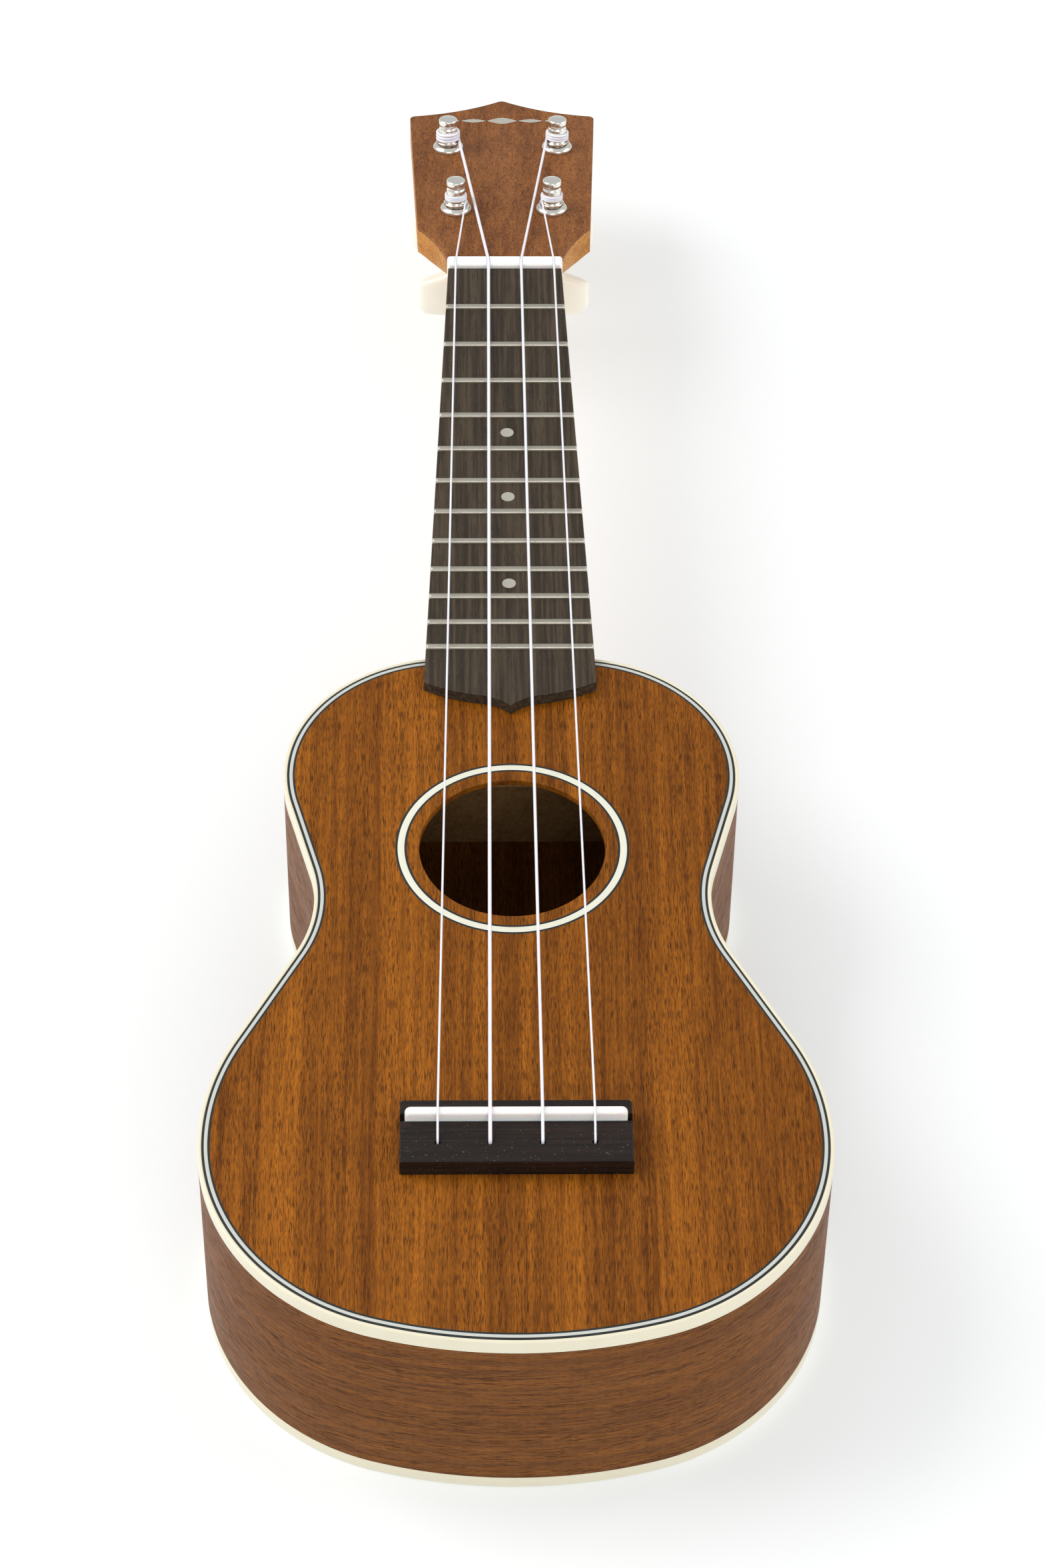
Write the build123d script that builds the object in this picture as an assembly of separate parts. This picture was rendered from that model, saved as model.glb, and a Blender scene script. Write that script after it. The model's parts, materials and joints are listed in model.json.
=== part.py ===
from build123d import *
from math import acos, asin, atan2, cos, degrees, hypot, pi, radians, sin, sqrt, tan
import os

# A soprano ukulele lying on its back, in millimetres.
# +X is to the player's right hand side of the board seen from the front, +Y runs from the
# tail to the head and +Z stands out of the soundboard. The back plate rests on Z = 0 and the
# origin is under the middle of the whole instrument.

# ---- strings and scale -------------------------------------------------------------------
scale_length = 346.0
fret_count = 12
body_fret = 12
joint_past_fret = 0.5
string_diameters = {"g": 0.6, "c": 1.0, "e": 0.85, "a": 0.6}
string_span_nut = 31.0
string_span_saddle = 40.4
saddle_compensation = 3.3
string_rest_gap = 0.04
string_hole_bend = 1.0
string_nut_bend = 12.0
string_over_hole = 0.5
string_winding_gap = 0.35
string_groove_gap = 0.05
knot_radius = 1.7

# ---- body --------------------------------------------------------------------------------
body_depth = 61.7
lower_bout_width = 164.3
waist_width = 108.1
upper_bout_width = 127.6
lower_bout_to_waist = 83.6
waist_to_upper_bout = 48.2
tail_radius = 133.8
lower_bout_tail_radius = 62.7
lower_bout_waist_radius = 74.0
waist_tail_radius = 43.1
waist_neck_radius = 44.3
upper_bout_tail_radius = 47.2
upper_bout_neck_radius = 46.1
top_thickness = 1.8
back_thickness = 2.0
rib_thickness = 2.0
binding_width = 1.12
top_binding_height = 4.5
back_binding_height = 4.1
black_line_width = 0.58
white_line_width = 0.9

# ---- sound hole and rosette --------------------------------------------------------------
sound_hole_radius = 25.6
sound_hole_from_neck = 75.0
rosette_inner_radius = 29.6
rosette_width = 2.1
rosette_line_width = 0.5
rosette_depth = 0.9

# ---- inside the body ---------------------------------------------------------------------
neck_block_thickness = 14.5
neck_block_width = 56.0
tail_block_thickness = 10.0
tail_block_width = 60.0
lining_width = 5.0
lining_height = 11.0
lining_lip = 4.0
lining_foot_width = 1.4
kerf_width = 0.8
kerf_pitch = 7.5
kerf_web = 1.2
block_gap = 0.3
brace_width = 7.0
top_brace_height = 8.0
back_brace_height = 10.0
brace_end_height = 3.0
brace_end_length = 18.0
brace_from_hole = 7.0
patch_length = 74.0
patch_width = 24.0
patch_thickness = 2.0
patch_offset = 2.0
kerf_overcut = 1.0
back_brace_places = (-33.5, 30.0, 84.0)
dowel_radius = 4.0
dowel_length = 24.0
dowel_depths = (19.0, 38.0)

# ---- neck and fretboard ------------------------------------------------------------------
board_thickness = 3.6
board_width_nut = 35.9
board_width_body = 48.3
board_overhang = 13.6
board_tip = 9.6
neck_depth_nut = 12.5
neck_depth_body = 15.0
neck_edge = 1.2
neck_root = 4.0
heel_top_depth = 4.0
heel_depth = 54.0
heel_root_reach = 40.0
heel_foot_reach = 12.5
heel_root_width = 46.0
heel_foot_width = 22.0
heel_sections = 6
heel_width_power = 1.5
heel_reach_power = 2.2
fret_width = 2.0
fret_height = 1.0
fret_bevel = 0.6
tang_width = 0.5
tang_depth = 1.6
tang_inset = 0.2
dot_radius = 2.0
dot_depth = 1.2
dot_frets = (5, 7, 10)
nut_thickness = 4.5
nut_width = 36.5
nut_above_board = 1.85
nut_top_rounding = 1.2
nut_end_rounding = 1.0
nut_slot_cut = 4.0
board_knee_share = (0.325, 0.57)
board_shoulder_share = (0.73, 0.32)
board_point_share = 0.71

# ---- bridge ------------------------------------------------------------------------------
bridge_length = 60.0
bridge_width = 20.3
bridge_height = 5.6
bridge_rear_height = 5.2
bridge_plateau = 3.2
bridge_lip = 4.7
bridge_front_rounding = 1.2
bridge_end_chamfer = 0.4
saddle_length = 57.4
saddle_thickness = 2.6
saddle_slot_depth = 4.0
saddle_above_bridge = 3.4
saddle_crown_radius = 1.1
saddle_end_rounding = 1.6
string_hole_radius = 0.8
string_hole_from_rear = 6.2
countersink_radius = 1.8
countersink_tip = 0.1
countersink_depth = 1.6

# ---- head --------------------------------------------------------------------------------
head_tilt = 10.5
head_thickness = 9.3
veneer_thickness = 1.3
head_length = 114.0
head_side_length = 102.0
head_width_top = 62.0
head_width_shoulder = 55.6
head_shoulder = 22.7
head_rounding = 2.0
head_scoop_share = (0.38, 0.53)
head_crown_share = 0.31
neck_blend_length = 21.0
neck_blend_width_share = 0.75
shoulder_carve_rise = 7.4
shoulder_carve_width = 4.5

# ---- friction pegs: places on the head's face and sizes along the peg's axis ---------------
lower_peg_place = (15.5, 34.0)
upper_peg_place = (18.1, 78.0)
post_radius = 3.0
post_waist_radius = 2.7
post_waist_heights = (2.4, 2.9, 3.6, 4.1)
post_height = 11.0
post_rounding = 0.6
post_hole_radius = 0.75
winding_height = 5.0
winding_turns = 3
winding_pitch_share = 0.95
winding_clearance = 0.01
peg_clearance = 0.06
peg_shoulder_radius = 3.9
peg_shoulder_height = 0.8
sleeve_radius = 4.0
ferrule_radius = 5.1
ferrule_thickness = 2.0
ferrule_sleeve = 4.5
ferrule_rim_share = 0.4
ferrule_slope = 1.1
collar_radius = 5.6
collar_length = 7.5
collar_sleeve = 3.0
collar_rim = 1.2
washer_radius = 4.8
washer_thickness = 0.8
peg_end_gap = 0.3
button_hub_radius = 4.2
button_hub_length = 8.0
button_hub_taper = 1.0
button_overlap = 2.0
button_width = 25.0
button_height = 13.6
button_thickness = 6.2
button_corner = 4.5
button_rounding = 1.8
tang_radius = 2.2
tang_flats = 3.4
tang_length = 14.0
screw_radius = 1.1
screw_length = 10.0
screw_head_radius = 2.2
screw_head_height = 1.2
screw_slot = 0.6

# ---- places that follow from the sizes above -----------------------------------------------
lower_centre_x = lower_bout_width / 2 - lower_bout_tail_radius
tail_to_lower_bout = tail_radius - sqrt((tail_radius - lower_bout_tail_radius) ** 2 - lower_centre_x**2)
body_length = tail_to_lower_bout + lower_bout_to_waist + waist_to_upper_bout + upper_bout_neck_radius


def fret_distance(number):
    """Distance of a fret from the nut's front edge."""
    return scale_length * (1 - 2 ** (-number / 12))


def head_outline():
    """Face of the head, from the nut up, in the face's own plane."""
    shoulder = (head_width_shoulder / 2, head_shoulder)
    corner = (head_width_top / 2, head_side_length)
    with BuildSketch() as shape:
        with BuildLine():
            foot = (nut_width / 2, 0)
            scoop_x = foot[0] + head_scoop_share[0] * (shoulder[0] - foot[0])
            scoop = (scoop_x, head_shoulder * head_scoop_share[1])
            Line((0, 0), foot)
            ThreePointArc(foot, scoop, shoulder)
            Line(shoulder, corner)
            rise = head_side_length + head_crown_share * (head_length - head_side_length)
            ThreePointArc(corner, (corner[0] / 2, rise), (0, head_length))
            mirror(about=Plane.YZ)
        make_face()
        fillet(shape.vertices().filter_by(lambda v: v.Y > head_side_length - 1), head_rounding)
    return shape.sketch


neck_length = fret_distance(body_fret) + joint_past_fret
head_tip = head_outline().bounding_box().max.Y
head_reach = nut_thickness + head_tip * cos(radians(head_tilt))
tail_y = -(body_length + neck_length + head_reach) / 2
lower_y = tail_y + tail_to_lower_bout
waist_y = lower_y + lower_bout_to_waist
upper_y = waist_y + waist_to_upper_bout
neck_joint_y = upper_y + upper_bout_neck_radius
nut_y = neck_joint_y + neck_length
hole_y = neck_joint_y - sound_hole_from_neck
saddle_y = nut_y - scale_length - saddle_compensation
bridge_front_y = saddle_y + saddle_thickness / 2 + bridge_lip
bridge_rear_y = bridge_front_y - bridge_width
string_hole_y = bridge_rear_y + string_hole_from_rear
top_z = body_depth
under_top_z = body_depth - top_thickness
trim_width = binding_width + 2 * black_line_width + white_line_width
saddle_crown_z = top_z + bridge_height + saddle_above_bridge
nut_top_z = top_z + board_thickness + nut_above_board
face = Plane(
    origin=(0, nut_y + nut_thickness, top_z + board_thickness),
    x_dir=(1, 0, 0),
    z_dir=(0, sin(radians(head_tilt)), cos(radians(head_tilt))),
)


# ---- helpers -------------------------------------------------------------------------------
def save(name, solids):
    """Write one node as a compound of its solids."""
    export_step(Compound(list(solids)), f"parts/{name}.step")


def arc(centre, radius, start, end):
    """Arc about a centre between two angles in radians, either way round."""
    points = [
        (centre[0] + radius * cos(a), centre[1] + radius * sin(a)) for a in (start, (start + end) / 2, end)
    ]
    return ThreePointArc(*points)


def tangent_angle(convex, concave, convex_radius, concave_radius):
    """Angle, at the convex arc's centre, where the line to the concave arc leaves it."""
    dx = concave[0] - convex[0]
    dy = abs(concave[1] - convex[1])
    return atan2(dy, dx) - acos((convex_radius + concave_radius) / hypot(dx, dy))


def outline(inset, z=0.0):
    """Plan of the body as a face, moved inwards by inset. Every arc keeps its centre."""
    half_lower, half_waist, half_upper = lower_bout_width / 2, waist_width / 2, upper_bout_width / 2
    tail = (0, tail_y + tail_radius)
    lower_tail = (lower_centre_x, lower_y)
    lower_waist = (half_lower - lower_bout_waist_radius, lower_y)
    waist_tail = (half_waist + waist_tail_radius, waist_y)
    waist_neck = (half_waist + waist_neck_radius, waist_y)
    upper_tail = (half_upper - upper_bout_tail_radius, upper_y)
    upper_neck = (half_upper - upper_bout_neck_radius, upper_y)
    join = atan2(lower_tail[1] - tail[1], lower_tail[0] - tail[0])
    below = tangent_angle(lower_waist, waist_tail, lower_bout_waist_radius, waist_tail_radius)
    above = tangent_angle(upper_tail, waist_neck, upper_bout_tail_radius, waist_neck_radius)
    chain = [
        arc(tail, tail_radius - inset, -pi / 2, join),
        arc(lower_tail, lower_bout_tail_radius - inset, join, 0),
        arc(lower_waist, lower_bout_waist_radius - inset, 0, below),
        arc(waist_tail, waist_tail_radius + inset, below + pi, pi),
        arc(waist_neck, waist_neck_radius + inset, pi, pi - above),
        arc(upper_tail, upper_bout_tail_radius - inset, -above, 0),
        arc(upper_neck, upper_bout_neck_radius - inset, 0, pi / 2),
    ]
    chain.insert(3, Line(chain[2] @ 1, chain[3] @ 0))
    chain.insert(6, Line(chain[5] @ 1, chain[6] @ 0))
    chain.append(Line(chain[-1] @ 1, (0, neck_joint_y - inset)))
    right = Wire([edge for part in chain for edge in part.edges()])
    left = mirror(right, about=Plane.YZ)
    return Pos(0, 0, z) * Face(Wire([*right.edges(), *left.edges()]))


def slab(inset, bottom, top):
    """The body's plan as a plate between two heights."""
    return extrude(outline(inset, bottom), top - bottom, dir=(0, 0, 1))


def ring(outer_inset, inner_inset, bottom, top):
    """A band that follows the body's edge."""
    return slab(outer_inset, bottom, top) - slab(inner_inset, bottom, top)


def halves(shape):
    """The left and right pieces of a band that butts on the centreline."""
    reach = body_length + lower_bout_width
    middle = (tail_y + neck_joint_y) / 2
    return [
        shape & (Pos(side * reach / 2, middle, body_depth / 2) * Box(reach, 2 * reach, 4 * body_depth))
        for side in (-1, 1)
    ]


def block(width, length, height, centre):
    """A box by its centre and its sizes along X, Y and Z."""
    return Pos(*centre) * Box(width, length, height)


def string_x(index, span):
    """Sideways place of a string, counted from the left."""
    return span * (index / 3 - 0.5)


def board_half_width(y):
    """Half the fretboard's width at a place along it."""
    share = (nut_y - y) / neck_length
    return (board_width_nut + (board_width_body - board_width_nut) * share) / 2


def rod(start, direction, radius, length):
    """A round rod from a point along a direction."""
    return extrude(Plane(origin=start, z_dir=direction) * Circle(radius), length)


# ---- sound box -----------------------------------------------------------------------------
def make_soundboard():
    plate = slab(trim_width, under_top_z, top_z)
    plate -= Pos(0, hole_y, top_z) * Cylinder(sound_hole_radius, 4 * top_thickness)
    channel_inner = rosette_inner_radius - rosette_line_width
    channel_outer = rosette_inner_radius + rosette_width + rosette_line_width
    plate -= hoop(channel_inner, channel_outer)
    for index in range(4):
        place = Pos(string_x(index, string_span_saddle), string_hole_y, top_z)
        plate -= place * Cylinder(string_hole_radius, 4 * top_thickness)
    save("soundboard", plate.solids())


def hoop(inner, outer):
    """A flat ring let into the top round the sound hole."""
    centre = Pos(0, hole_y, top_z - rosette_depth / 2)
    return centre * (Cylinder(outer, rosette_depth) - Cylinder(inner, rosette_depth))


def make_rosette():
    outer = rosette_inner_radius + rosette_width
    save("rosette_band", hoop(rosette_inner_radius, outer).solids())
    lines = [
        hoop(rosette_inner_radius - rosette_line_width, rosette_inner_radius),
        hoop(outer, outer + rosette_line_width),
    ]
    save("rosette_lines", [solid for line in lines for solid in line.solids()])


def make_edge_trim():
    """Binding strips and the dark-white-dark lines inside the top one."""
    strips = {
        "top_binding": (0, binding_width, body_depth - top_binding_height, top_z),
        "back_binding": (0, binding_width, 0, back_binding_height),
    }
    inset = binding_width
    widths = (black_line_width, white_line_width, black_line_width)
    for name, width in zip(("outer_dark_line", "white_line", "inner_dark_line"), widths):
        strips[name] = (inset, inset + width, under_top_z, top_z)
        inset += width
    for name, sizes in strips.items():
        save(name, [solid for half in halves(ring(*sizes)) for solid in half.solids()])


def dowels():
    centre_y = neck_joint_y - neck_block_thickness - rib_thickness + dowel_length / 2
    return [
        Pos(0, centre_y, top_z - depth) * Rot(90, 0, 0) * Cylinder(dowel_radius, dowel_length)
        for depth in dowel_depths
    ]


def make_ribs():
    """Two bent side walls, rabbeted top and bottom for the bindings."""
    wall = ring(0, rib_thickness, back_binding_height, body_depth - top_binding_height)
    wall += ring(binding_width, rib_thickness, back_thickness, under_top_z)
    wall -= dowels()
    for name, half in zip(("left_rib", "right_rib"), halves(wall)):
        save(name, half.solids())


def make_back_plate():
    save("back_plate", slab(binding_width, 0, back_thickness).solids())


def block_space(gap):
    """The boxes that hold the neck block and the tail block, grown by a gap."""
    height = body_depth
    neck_length_y = neck_block_thickness + rib_thickness + 2 * gap
    tail_length_y = tail_block_thickness + rib_thickness + 2 * gap
    neck_centre = (0, neck_joint_y - neck_length_y / 2 + gap, height / 2)
    tail_centre = (0, tail_y + tail_length_y / 2 - gap, height / 2)
    return (
        block(neck_block_width + 2 * gap, neck_length_y, height, neck_centre),
        block(tail_block_width + 2 * gap, tail_length_y, height, tail_centre),
    )


def make_blocks():
    inside = slab(rib_thickness, back_thickness, under_top_z)
    neck_space, tail_space = block_space(0)
    save("neck_block", ((inside & neck_space) - dowels()).solids())
    save("tail_block", (inside & tail_space).solids())
    save("neck_dowels", [dowel.solid() for dowel in dowels()])


def make_linings():
    """Kerfed strips of triangular section that tie the plates to the ribs."""
    lip_z = under_top_z - lining_lip
    foot_z = under_top_z - lining_height
    inner = rib_thickness + lining_width
    strip = slab(rib_thickness, foot_z, under_top_z) - slab(inner, lip_z, under_top_z)
    strip -= loft([outline(rib_thickness + lining_foot_width, foot_z), outline(inner, lip_z)], ruled=True)
    kerf_length = lining_width - kerf_web + kerf_overcut
    path = outline(rib_thickness + kerf_web + kerf_length / 2).outer_wire()
    count = round(path.length / kerf_pitch)
    kerfs = []
    for index in range(count):
        share = (index + 0.5) / count
        point, heading = path @ share, path % share
        turn = degrees(atan2(heading.Y, heading.X))
        place = Pos(point.X, point.Y, (foot_z + under_top_z) / 2) * Rot(0, 0, turn)
        kerfs.append(place * Box(kerf_width, kerf_length, lining_height))
    strip = strip - kerfs
    strip = strip - list(block_space(block_gap))
    mirrored = mirror(strip, about=Plane.XY.offset((back_thickness + under_top_z) / 2))
    save("top_lining", strip.solids())
    save("back_lining", mirrored.solids())


def brace(y, plate_z, height, up):
    """A bar across the body with sloped ends, stopped at the linings."""
    centre_z = plate_z + up * height / 2
    width = lower_bout_width
    bar = block(width, brace_width, height, (0, y, centre_z))
    bar &= slab(rib_thickness + lining_width + block_gap, 0, body_depth)
    half = bar.bounding_box().size.X / 2
    rise = height - brace_end_height
    with BuildSketch(Plane.XZ.offset(-y - brace_width)) as wedge:
        with BuildLine():
            tip = plate_z + up * brace_end_height
            crest = plate_z + up * (height + 0.01)
            Polyline((half - brace_end_length, crest), (half + 1, crest), (half + 1, tip), (half, tip),
                     (half - brace_end_length, crest))
        make_face()
    cut = extrude(wedge.sketch, 2 * brace_width)
    return bar - cut - mirror(cut, about=Plane.YZ)


def make_braces():
    reach = sound_hole_radius + brace_from_hole + brace_width / 2
    top = [brace(hole_y + side * reach, under_top_z, top_brace_height, -1) for side in (-1, 1)]
    back = [brace(waist_y - place, back_thickness, back_brace_height, 1) for place in back_brace_places]
    save("top_braces", [bar.solid() for bar in top])
    save("back_braces", [bar.solid() for bar in back])
    centre = (0, string_hole_y + patch_offset, under_top_z - patch_thickness / 2)
    patch = block(patch_length, patch_width, patch_thickness, centre)
    for index in range(4):
        place = Pos(string_x(index, string_span_saddle), string_hole_y, under_top_z)
        patch -= place * Cylinder(string_hole_radius, 4 * patch_thickness)
    save("bridge_patch", patch.solids())


# ---- neck, board and nut -------------------------------------------------------------------
def neck_section(y, half_width, top, depth):
    """A flat-topped, round-bellied slice across the neck."""
    with BuildSketch(Plane(origin=(0, y, top), x_dir=(1, 0, 0), z_dir=(0, -1, 0))) as slice_:
        with BuildLine():
            belly = EllipticalCenterArc((0, -neck_edge), half_width, depth - neck_edge, 180, arc_size=180)
            Polyline(belly @ 1, (half_width, 0), (-half_width, 0), belly @ 0)
        make_face()
    return slice_.sketch


def heel_section(share):
    """A level slice of the heel, half round towards the head."""
    depth = heel_top_depth + (heel_depth - heel_top_depth) * share
    taper = (heel_root_width - heel_foot_width) * (1 - share**heel_width_power)
    half = (heel_foot_width + taper) / 2
    reach = heel_foot_reach + (heel_root_reach - heel_foot_reach) * (1 - share) ** heel_reach_power
    with BuildSketch(Plane.XY.offset(top_z - depth)) as slice_:
        with BuildLine():
            bow = EllipticalCenterArc((0, neck_joint_y), half, reach, 0, arc_size=180)
            root_y = neck_joint_y - neck_root
            Polyline(bow @ 1, (-half, root_y), (half, root_y), bow @ 0)
        make_face()
    return slice_.sketch


def peg_places():
    """Name and place on the face of each peg, in string order."""
    lower_x, lower_u = lower_peg_place
    upper_x, upper_u = upper_peg_place
    return {
        "g": (-lower_x, lower_u),
        "c": (-upper_x, upper_u),
        "e": (upper_x, upper_u),
        "a": (lower_x, lower_u),
    }


def nut_space():
    return block(2 * nut_width, nut_thickness, 30, (0, nut_y + nut_thickness / 2, top_z + 15))


def make_neck():
    """Heel, shaft and head in one piece of wood, with the dark veneer on the head's face."""
    start = neck_joint_y - neck_root
    shaft = loft(
        [
            neck_section(start, board_half_width(start), top_z, neck_depth_body),
            neck_section(nut_y, board_half_width(nut_y), top_z, neck_depth_nut),
        ],
        ruled=True,
    )
    blend_y = nut_y + nut_thickness + neck_blend_length
    tilt = radians(head_tilt)
    head_back_z = face.origin.Z - head_thickness / cos(tilt) - neck_blend_length * tan(tilt)
    blend_top = top_z - neck_depth_nut / 2
    blend = loft(
        [
            neck_section(nut_y, board_half_width(nut_y), top_z, neck_depth_nut),
            neck_section(
                blend_y, board_half_width(nut_y) * neck_blend_width_share, blend_top, blend_top - head_back_z
            ),
        ],
        ruled=True,
    )
    heel = loft([heel_section(index / (heel_sections - 1)) for index in range(heel_sections)])
    wood = face.location * (Pos(0, 0, -head_thickness) * extrude(head_outline(), head_thickness))
    veneer = face.location * (Pos(0, 0, -veneer_thickness) * extrude(head_outline(), veneer_thickness))
    above_wood = face.location * block(200, 400, 50, (0, 0, 25 - veneer_thickness))
    sleeve_holes = [
        face.location * Pos(x, u, 0) * Cylinder(sleeve_radius, 4 * head_thickness)
        for x, u in peg_places().values()
    ]
    neck = shaft + (blend - above_wood) + heel + (wood - above_wood - shoulder_carves())
    neck -= [nut_space(), slab(0, -1, body_depth + 1), *dowels(), *sleeve_holes]
    save("neck", neck.solids())
    save("head_veneer", (veneer - [nut_space(), *sleeve_holes]).solids())


def shoulder_carves():
    """Large blocks that slice the head's back edge from each shoulder's corner up to the nut's end."""
    foot = Vector(nut_width / 2, 0, shoulder_carve_rise - head_thickness)
    root = Vector(nut_width / 2 - shoulder_carve_width, 0, -head_thickness)
    corner = Vector(head_width_shoulder / 2, head_shoulder, -head_thickness)
    cut_face = Plane(origin=foot, z_dir=(root - foot).cross(corner - foot))
    cutter = cut_face.location * Pos(0, 0, head_length / 2) * Box(head_length, head_length, head_length)
    return [face.location * side for side in (cutter, mirror(cutter, about=Plane.YZ))]


def dot_solids():
    dots = []
    for fret in dot_frets:
        middle = nut_y - (fret_distance(fret - 1) + fret_distance(fret)) / 2
        centre = (0, middle, top_z + board_thickness - dot_depth / 2)
        dots.append(Pos(*centre) * Cylinder(dot_radius, dot_depth))
    return dots


def make_fretboard():
    end_y = neck_joint_y - board_overhang
    tip_y = end_y - board_tip
    half = board_half_width(end_y)
    knee = (half * board_knee_share[0], end_y - board_tip * board_knee_share[1])
    shoulder = (half * board_shoulder_share[0], end_y - board_tip * board_shoulder_share[1])
    with BuildSketch(Plane.XY.offset(top_z)) as plan:
        with BuildLine():
            Line((0, nut_y), (board_half_width(nut_y), nut_y))
            Line((board_half_width(nut_y), nut_y), (half, end_y))
            ThreePointArc((half, end_y), shoulder, knee)
            ThreePointArc(knee, (knee[0] / 2, end_y - board_tip * board_point_share), (0, tip_y))
            mirror(about=Plane.YZ)
        make_face()
    board = extrude(plan.sketch, board_thickness)
    for fret in range(1, fret_count + 1):
        y = nut_y - fret_distance(fret)
        board -= block(80, tang_width, tang_depth, (0, y, top_z + board_thickness - tang_depth / 2))
    save("fretboard", (board - dot_solids()).solids())
    save("fret_dots", [dot.solid() for dot in dot_solids()])


def make_frets():
    """Each fret is a low crown with bevelled ends, on a tang pressed into the board."""
    board_top = top_z + board_thickness
    frets = []
    for fret in range(1, fret_count + 1):
        y = nut_y - fret_distance(fret)
        half = board_half_width(y)
        with BuildSketch(Plane.YZ.offset(-half)) as section:
            with BuildLine():
                near, far = y - fret_width / 2, y + fret_width / 2
                crown = ThreePointArc((near, board_top), (y, board_top + fret_height), (far, board_top))
                Line(crown @ 1, crown @ 0)
            make_face()
        with BuildSketch(Plane.XZ.offset(-y - fret_width)) as front:
            with BuildLine():
                crest = board_top + fret_height
                short = half - fret_bevel
                Polyline(
                    (-half, board_top), (half, board_top), (short, crest), (-short, crest), (-half, board_top)
                )
            make_face()
        crown_bar = extrude(section.sketch, 2 * half) & extrude(front.sketch, 2 * fret_width)
        tang = block(2 * (half - tang_inset), tang_width, tang_depth, (0, y, board_top - tang_depth / 2))
        frets.append((crown_bar + tang).solid())
    save("frets", frets)


def saddle_wrap(name):
    """Radius of a string's centre line where it bends over the saddle."""
    return saddle_crown_radius + string_diameters[name] / 2 + string_rest_gap


def string_route(index, name):
    """Corner points of a string from its knot to the start of its winding."""
    radius = string_diameters[name] / 2
    bridge_x = string_x(index, string_span_saddle)
    knot_z = under_top_z - patch_thickness - knot_radius - string_rest_gap
    bend_z = top_z + bridge_height + string_over_hole
    wrap = saddle_wrap(name)
    climb = atan2(saddle_crown_z + radius - bend_z, saddle_y - string_hole_y)
    crown_y = saddle_y - saddle_thickness / 2 + saddle_crown_radius - wrap * tan(climb / 2)
    over_nut = Vector(
        string_x(index, string_span_nut), nut_y + nut_thickness / 2, nut_top_z - radius / 2
    )
    peg_x, peg_u = peg_places()[name]
    start = face.to_local_coords(over_nut)
    circle = post_radius + radius
    dx, du = peg_x - start.X, peg_u - start.Y
    distance = hypot(dx, du)
    side = 1 if peg_x > 0 else -1
    heading = atan2(du, dx) + side * asin(circle / distance)
    length = sqrt(distance**2 - circle**2)
    clear = circle + 2 * radius + string_winding_gap
    stop = sqrt(clear**2 - circle**2)
    share = (length - stop) / length
    end = Vector(
        start.X + share * length * cos(heading),
        start.Y + share * length * sin(heading),
        start.Z + share * (winding_height - start.Z),
    )
    return [
        Vector(bridge_x, string_hole_y, knot_z),
        Vector(bridge_x, string_hole_y, bend_z),
        Vector(bridge_x, crown_y, saddle_crown_z + radius + string_rest_gap),
        over_nut,
        face.from_local_coords(end),
    ]


def make_nut():
    height = nut_top_z - top_z
    body = block(nut_width, nut_thickness, height, (0, nut_y + nut_thickness / 2, top_z + height / 2))
    body = fillet(body.edges().filter_by(Axis.X).group_by(Axis.Z)[-1], nut_top_rounding)
    body = fillet(body.edges().group_by(Axis.Z)[-1].filter_by(Axis.Y), nut_end_rounding)
    for index, (name, diameter) in enumerate(string_diameters.items()):
        route = string_route(index, name)
        radius = diameter / 2 + string_groove_gap
        for target in (route[2], route[4]):
            heading = (target - route[3]).normalized()
            across = Vector(0, 0, 1).cross(heading)
            slot = Circle(radius) + Pos(0, nut_slot_cut / 2) * Rectangle(2 * radius, nut_slot_cut)
            body -= extrude(Plane(origin=route[3], x_dir=across, z_dir=heading) * slot, nut_thickness)
    save("nut", body.solids())


def make_bridge():
    """Rectangular bridge with an open-ended saddle slot and a sloped tail for the strings."""
    rear_top = top_z + bridge_rear_height
    crest = top_z + bridge_height
    plateau_y = saddle_y - saddle_thickness / 2 - bridge_plateau
    with BuildSketch(Plane.YZ.offset(-bridge_length / 2)) as profile:
        with BuildLine():
            Polyline(
                (bridge_rear_y, top_z), (bridge_rear_y, rear_top), (plateau_y, crest),
                (bridge_front_y, crest), (bridge_front_y, top_z), (bridge_rear_y, top_z)
            )
        make_face()
    body = extrude(profile.sketch, bridge_length)
    body = fillet(body.edges().filter_by(Axis.Z).group_by(Axis.Y)[-1], bridge_front_rounding)
    end_edges = body.faces().filter_by(Axis.X).edges().filter_by(Axis.Y).group_by(Axis.Z)[-1]
    body = chamfer(end_edges, bridge_end_chamfer)
    slot_z = crest - saddle_slot_depth / 2
    body -= block(2 * bridge_length, saddle_thickness, saddle_slot_depth, (0, saddle_y, slot_z))
    for index in range(4):
        place = Pos(string_x(index, string_span_saddle), string_hole_y, top_z)
        body -= place * Cylinder(string_hole_radius, 4 * bridge_height)
        countersink = Cone(countersink_tip, countersink_radius, countersink_depth)
        body -= place * Pos(0, 0, bridge_height) * countersink
    save("bridge", body.solids())

    height = saddle_above_bridge + saddle_slot_depth
    saddle = block(saddle_length, saddle_thickness, height, (0, saddle_y, saddle_crown_z - height / 2))
    saddle = fillet(saddle.edges().filter_by(Axis.Y).group_by(Axis.Z)[-1], saddle_end_rounding)
    saddle = fillet(saddle.edges().filter_by(Axis.X).group_by(Axis.Z)[-1], saddle_crown_radius)
    save("saddle", saddle.solids())


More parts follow.
